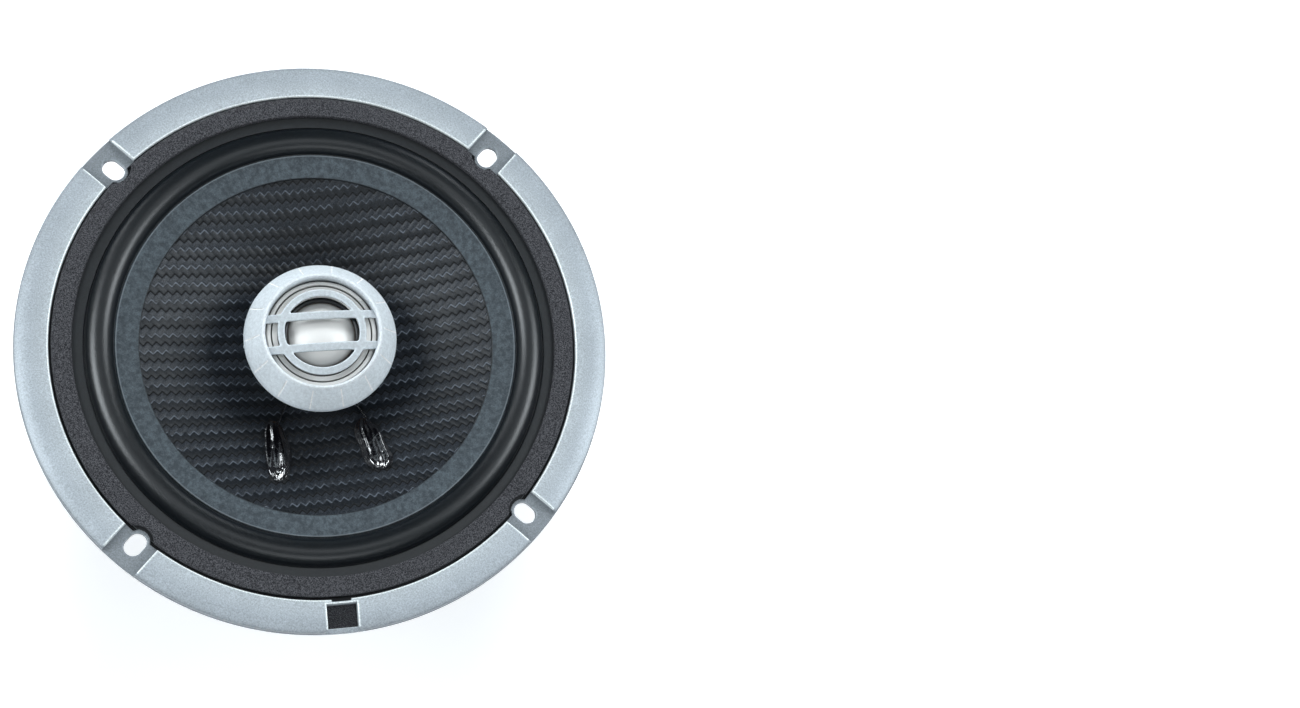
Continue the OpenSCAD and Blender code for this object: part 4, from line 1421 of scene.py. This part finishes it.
def dress_cad_nodes():
    """Gives every CAD node still on show the look of its slot, and softens the sharp ones."""
    slots = {part["node"]: part["material_slot"] for part in frame["record"]["subparts"]}
    for node, piece in frame["nodes"].items():
        if piece.hide_render:
            continue
        piece.data.materials.clear()
        piece.data.materials.append(LOOKS[slots[node]])
        if node in SOFT_EDGES:
            soft = piece.modifiers.new("soft_edges", "BEVEL")
            soft.width = SOFT_EDGES[node] * MM
            soft.segments = 2
            soft.angle_limit = math.radians(40)


# ---- Stage, lights and camera ----


def build_floor():
    half_m = 3.0
    mesh = bpy.data.meshes.new("floor")
    corners = [(-half_m, -half_m), (half_m, -half_m), (half_m, half_m), (-half_m, half_m)]
    mesh.from_pydata([(x, y, BACK_Z * MM) for x, y in corners], [], [(0, 1, 2, 3)])
    mesh.materials.append(floor_look())
    add_object("floor", mesh)


def add_softbox(name, place_m, size_m, watts, mirrored=True, lit=True):
    """A cool white area light, placed in the picture's axes; it can be left out of gloss or of matt."""
    data = bpy.data.lights.new(name, "AREA")
    data.shape = "RECTANGLE"
    data.size = size_m[0]
    data.size_y = size_m[1]
    data.energy = watts
    data.color = (0.90, 0.96, 1.0)
    lamp = add_object(name, data)
    lamp.location = from_view(place_m)
    lamp.rotation_euler = (-lamp.location).to_track_quat("-Z", "Y").to_euler()
    lamp.visible_glossy = mirrored
    lamp.visible_diffuse = lit


def build_lights():
    """Boxes that show as reflections, fills that light matt faces, and a faint cool surround."""
    add_softbox("left_box", (-0.80, 0.10, 0.86), (0.42, 0.6), 9.0, lit=False)
    add_softbox("right_box", (0.80, 0.10, 0.86), (0.42, 0.6), 7.0, lit=False)
    add_softbox("front_box", (0.0, -0.85, 0.95), (0.9, 0.45), 2.6, lit=False)
    add_softbox("top_box", (0.0, 0.10, 1.3), (0.6, 0.5), 1.2)
    add_softbox("back_left_box", (-0.80, 0.78, 0.42), (0.16, 0.4), 1.0, lit=False)
    add_softbox("back_right_box", (0.55, 0.95, 0.42), (0.16, 0.4), 0.9, lit=False)
    add_softbox("key_box", (0.10, 1.05, 0.85), (1.0, 0.5), 17.0, mirrored=False)
    add_softbox("left_fill", (-1.0, 0.2, 0.42), (0.4, 0.5), 6.5, mirrored=False)
    add_softbox("right_fill", (1.0, 0.2, 0.42), (0.4, 0.5), 4.5, mirrored=False)
    add_softbox("front_fill", (0.0, -1.0, 0.6), (0.6, 0.4), 6.6, mirrored=False)
    world = bpy.data.worlds.new("studio")
    world.use_nodes = True
    world.node_tree.nodes["Background"].inputs["Color"].default_value = (0.86, 0.94, 1.0, 1)
    world.node_tree.nodes["Background"].inputs["Strength"].default_value = 0.05
    bpy.context.scene.world = world


def build_camera():
    """The photograph's viewpoint: above the speaker and a little below and left of it in the picture."""
    data = bpy.data.cameras.new("camera")
    data.sensor_width = 36.0
    data.lens = 53.22
    data.clip_start = 0.01
    data.clip_end = 20.0
    camera = add_object("camera", data)
    right = from_view((0.97132, -0.06001, 0.23008))
    back = from_view((-0.23778, -0.24513, 0.93988))
    back.normalize()
    up = back.cross(right).normalized()
    right = up.cross(back)
    axes = Matrix((right, up, back)).transposed().to_4x4()
    place = from_view((-0.03970, -0.14669, 0.55004))
    camera.matrix_world = Matrix.Translation(place) @ axes
    bpy.context.scene.camera = camera


build_camera()
build_floor()
build_lights()
build_basket()
build_front_gasket()
build_surround()
build_cone()
build_leads()
build_spider()
build_bezel()
build_face_ring()
build_dome()
build_tweeter_surround()
build_wiring()
build_solder()
build_capacitor()
build_capacitor_adhesive()
dress_cad_nodes()

bpy.context.scene.view_settings.view_transform = "Standard"
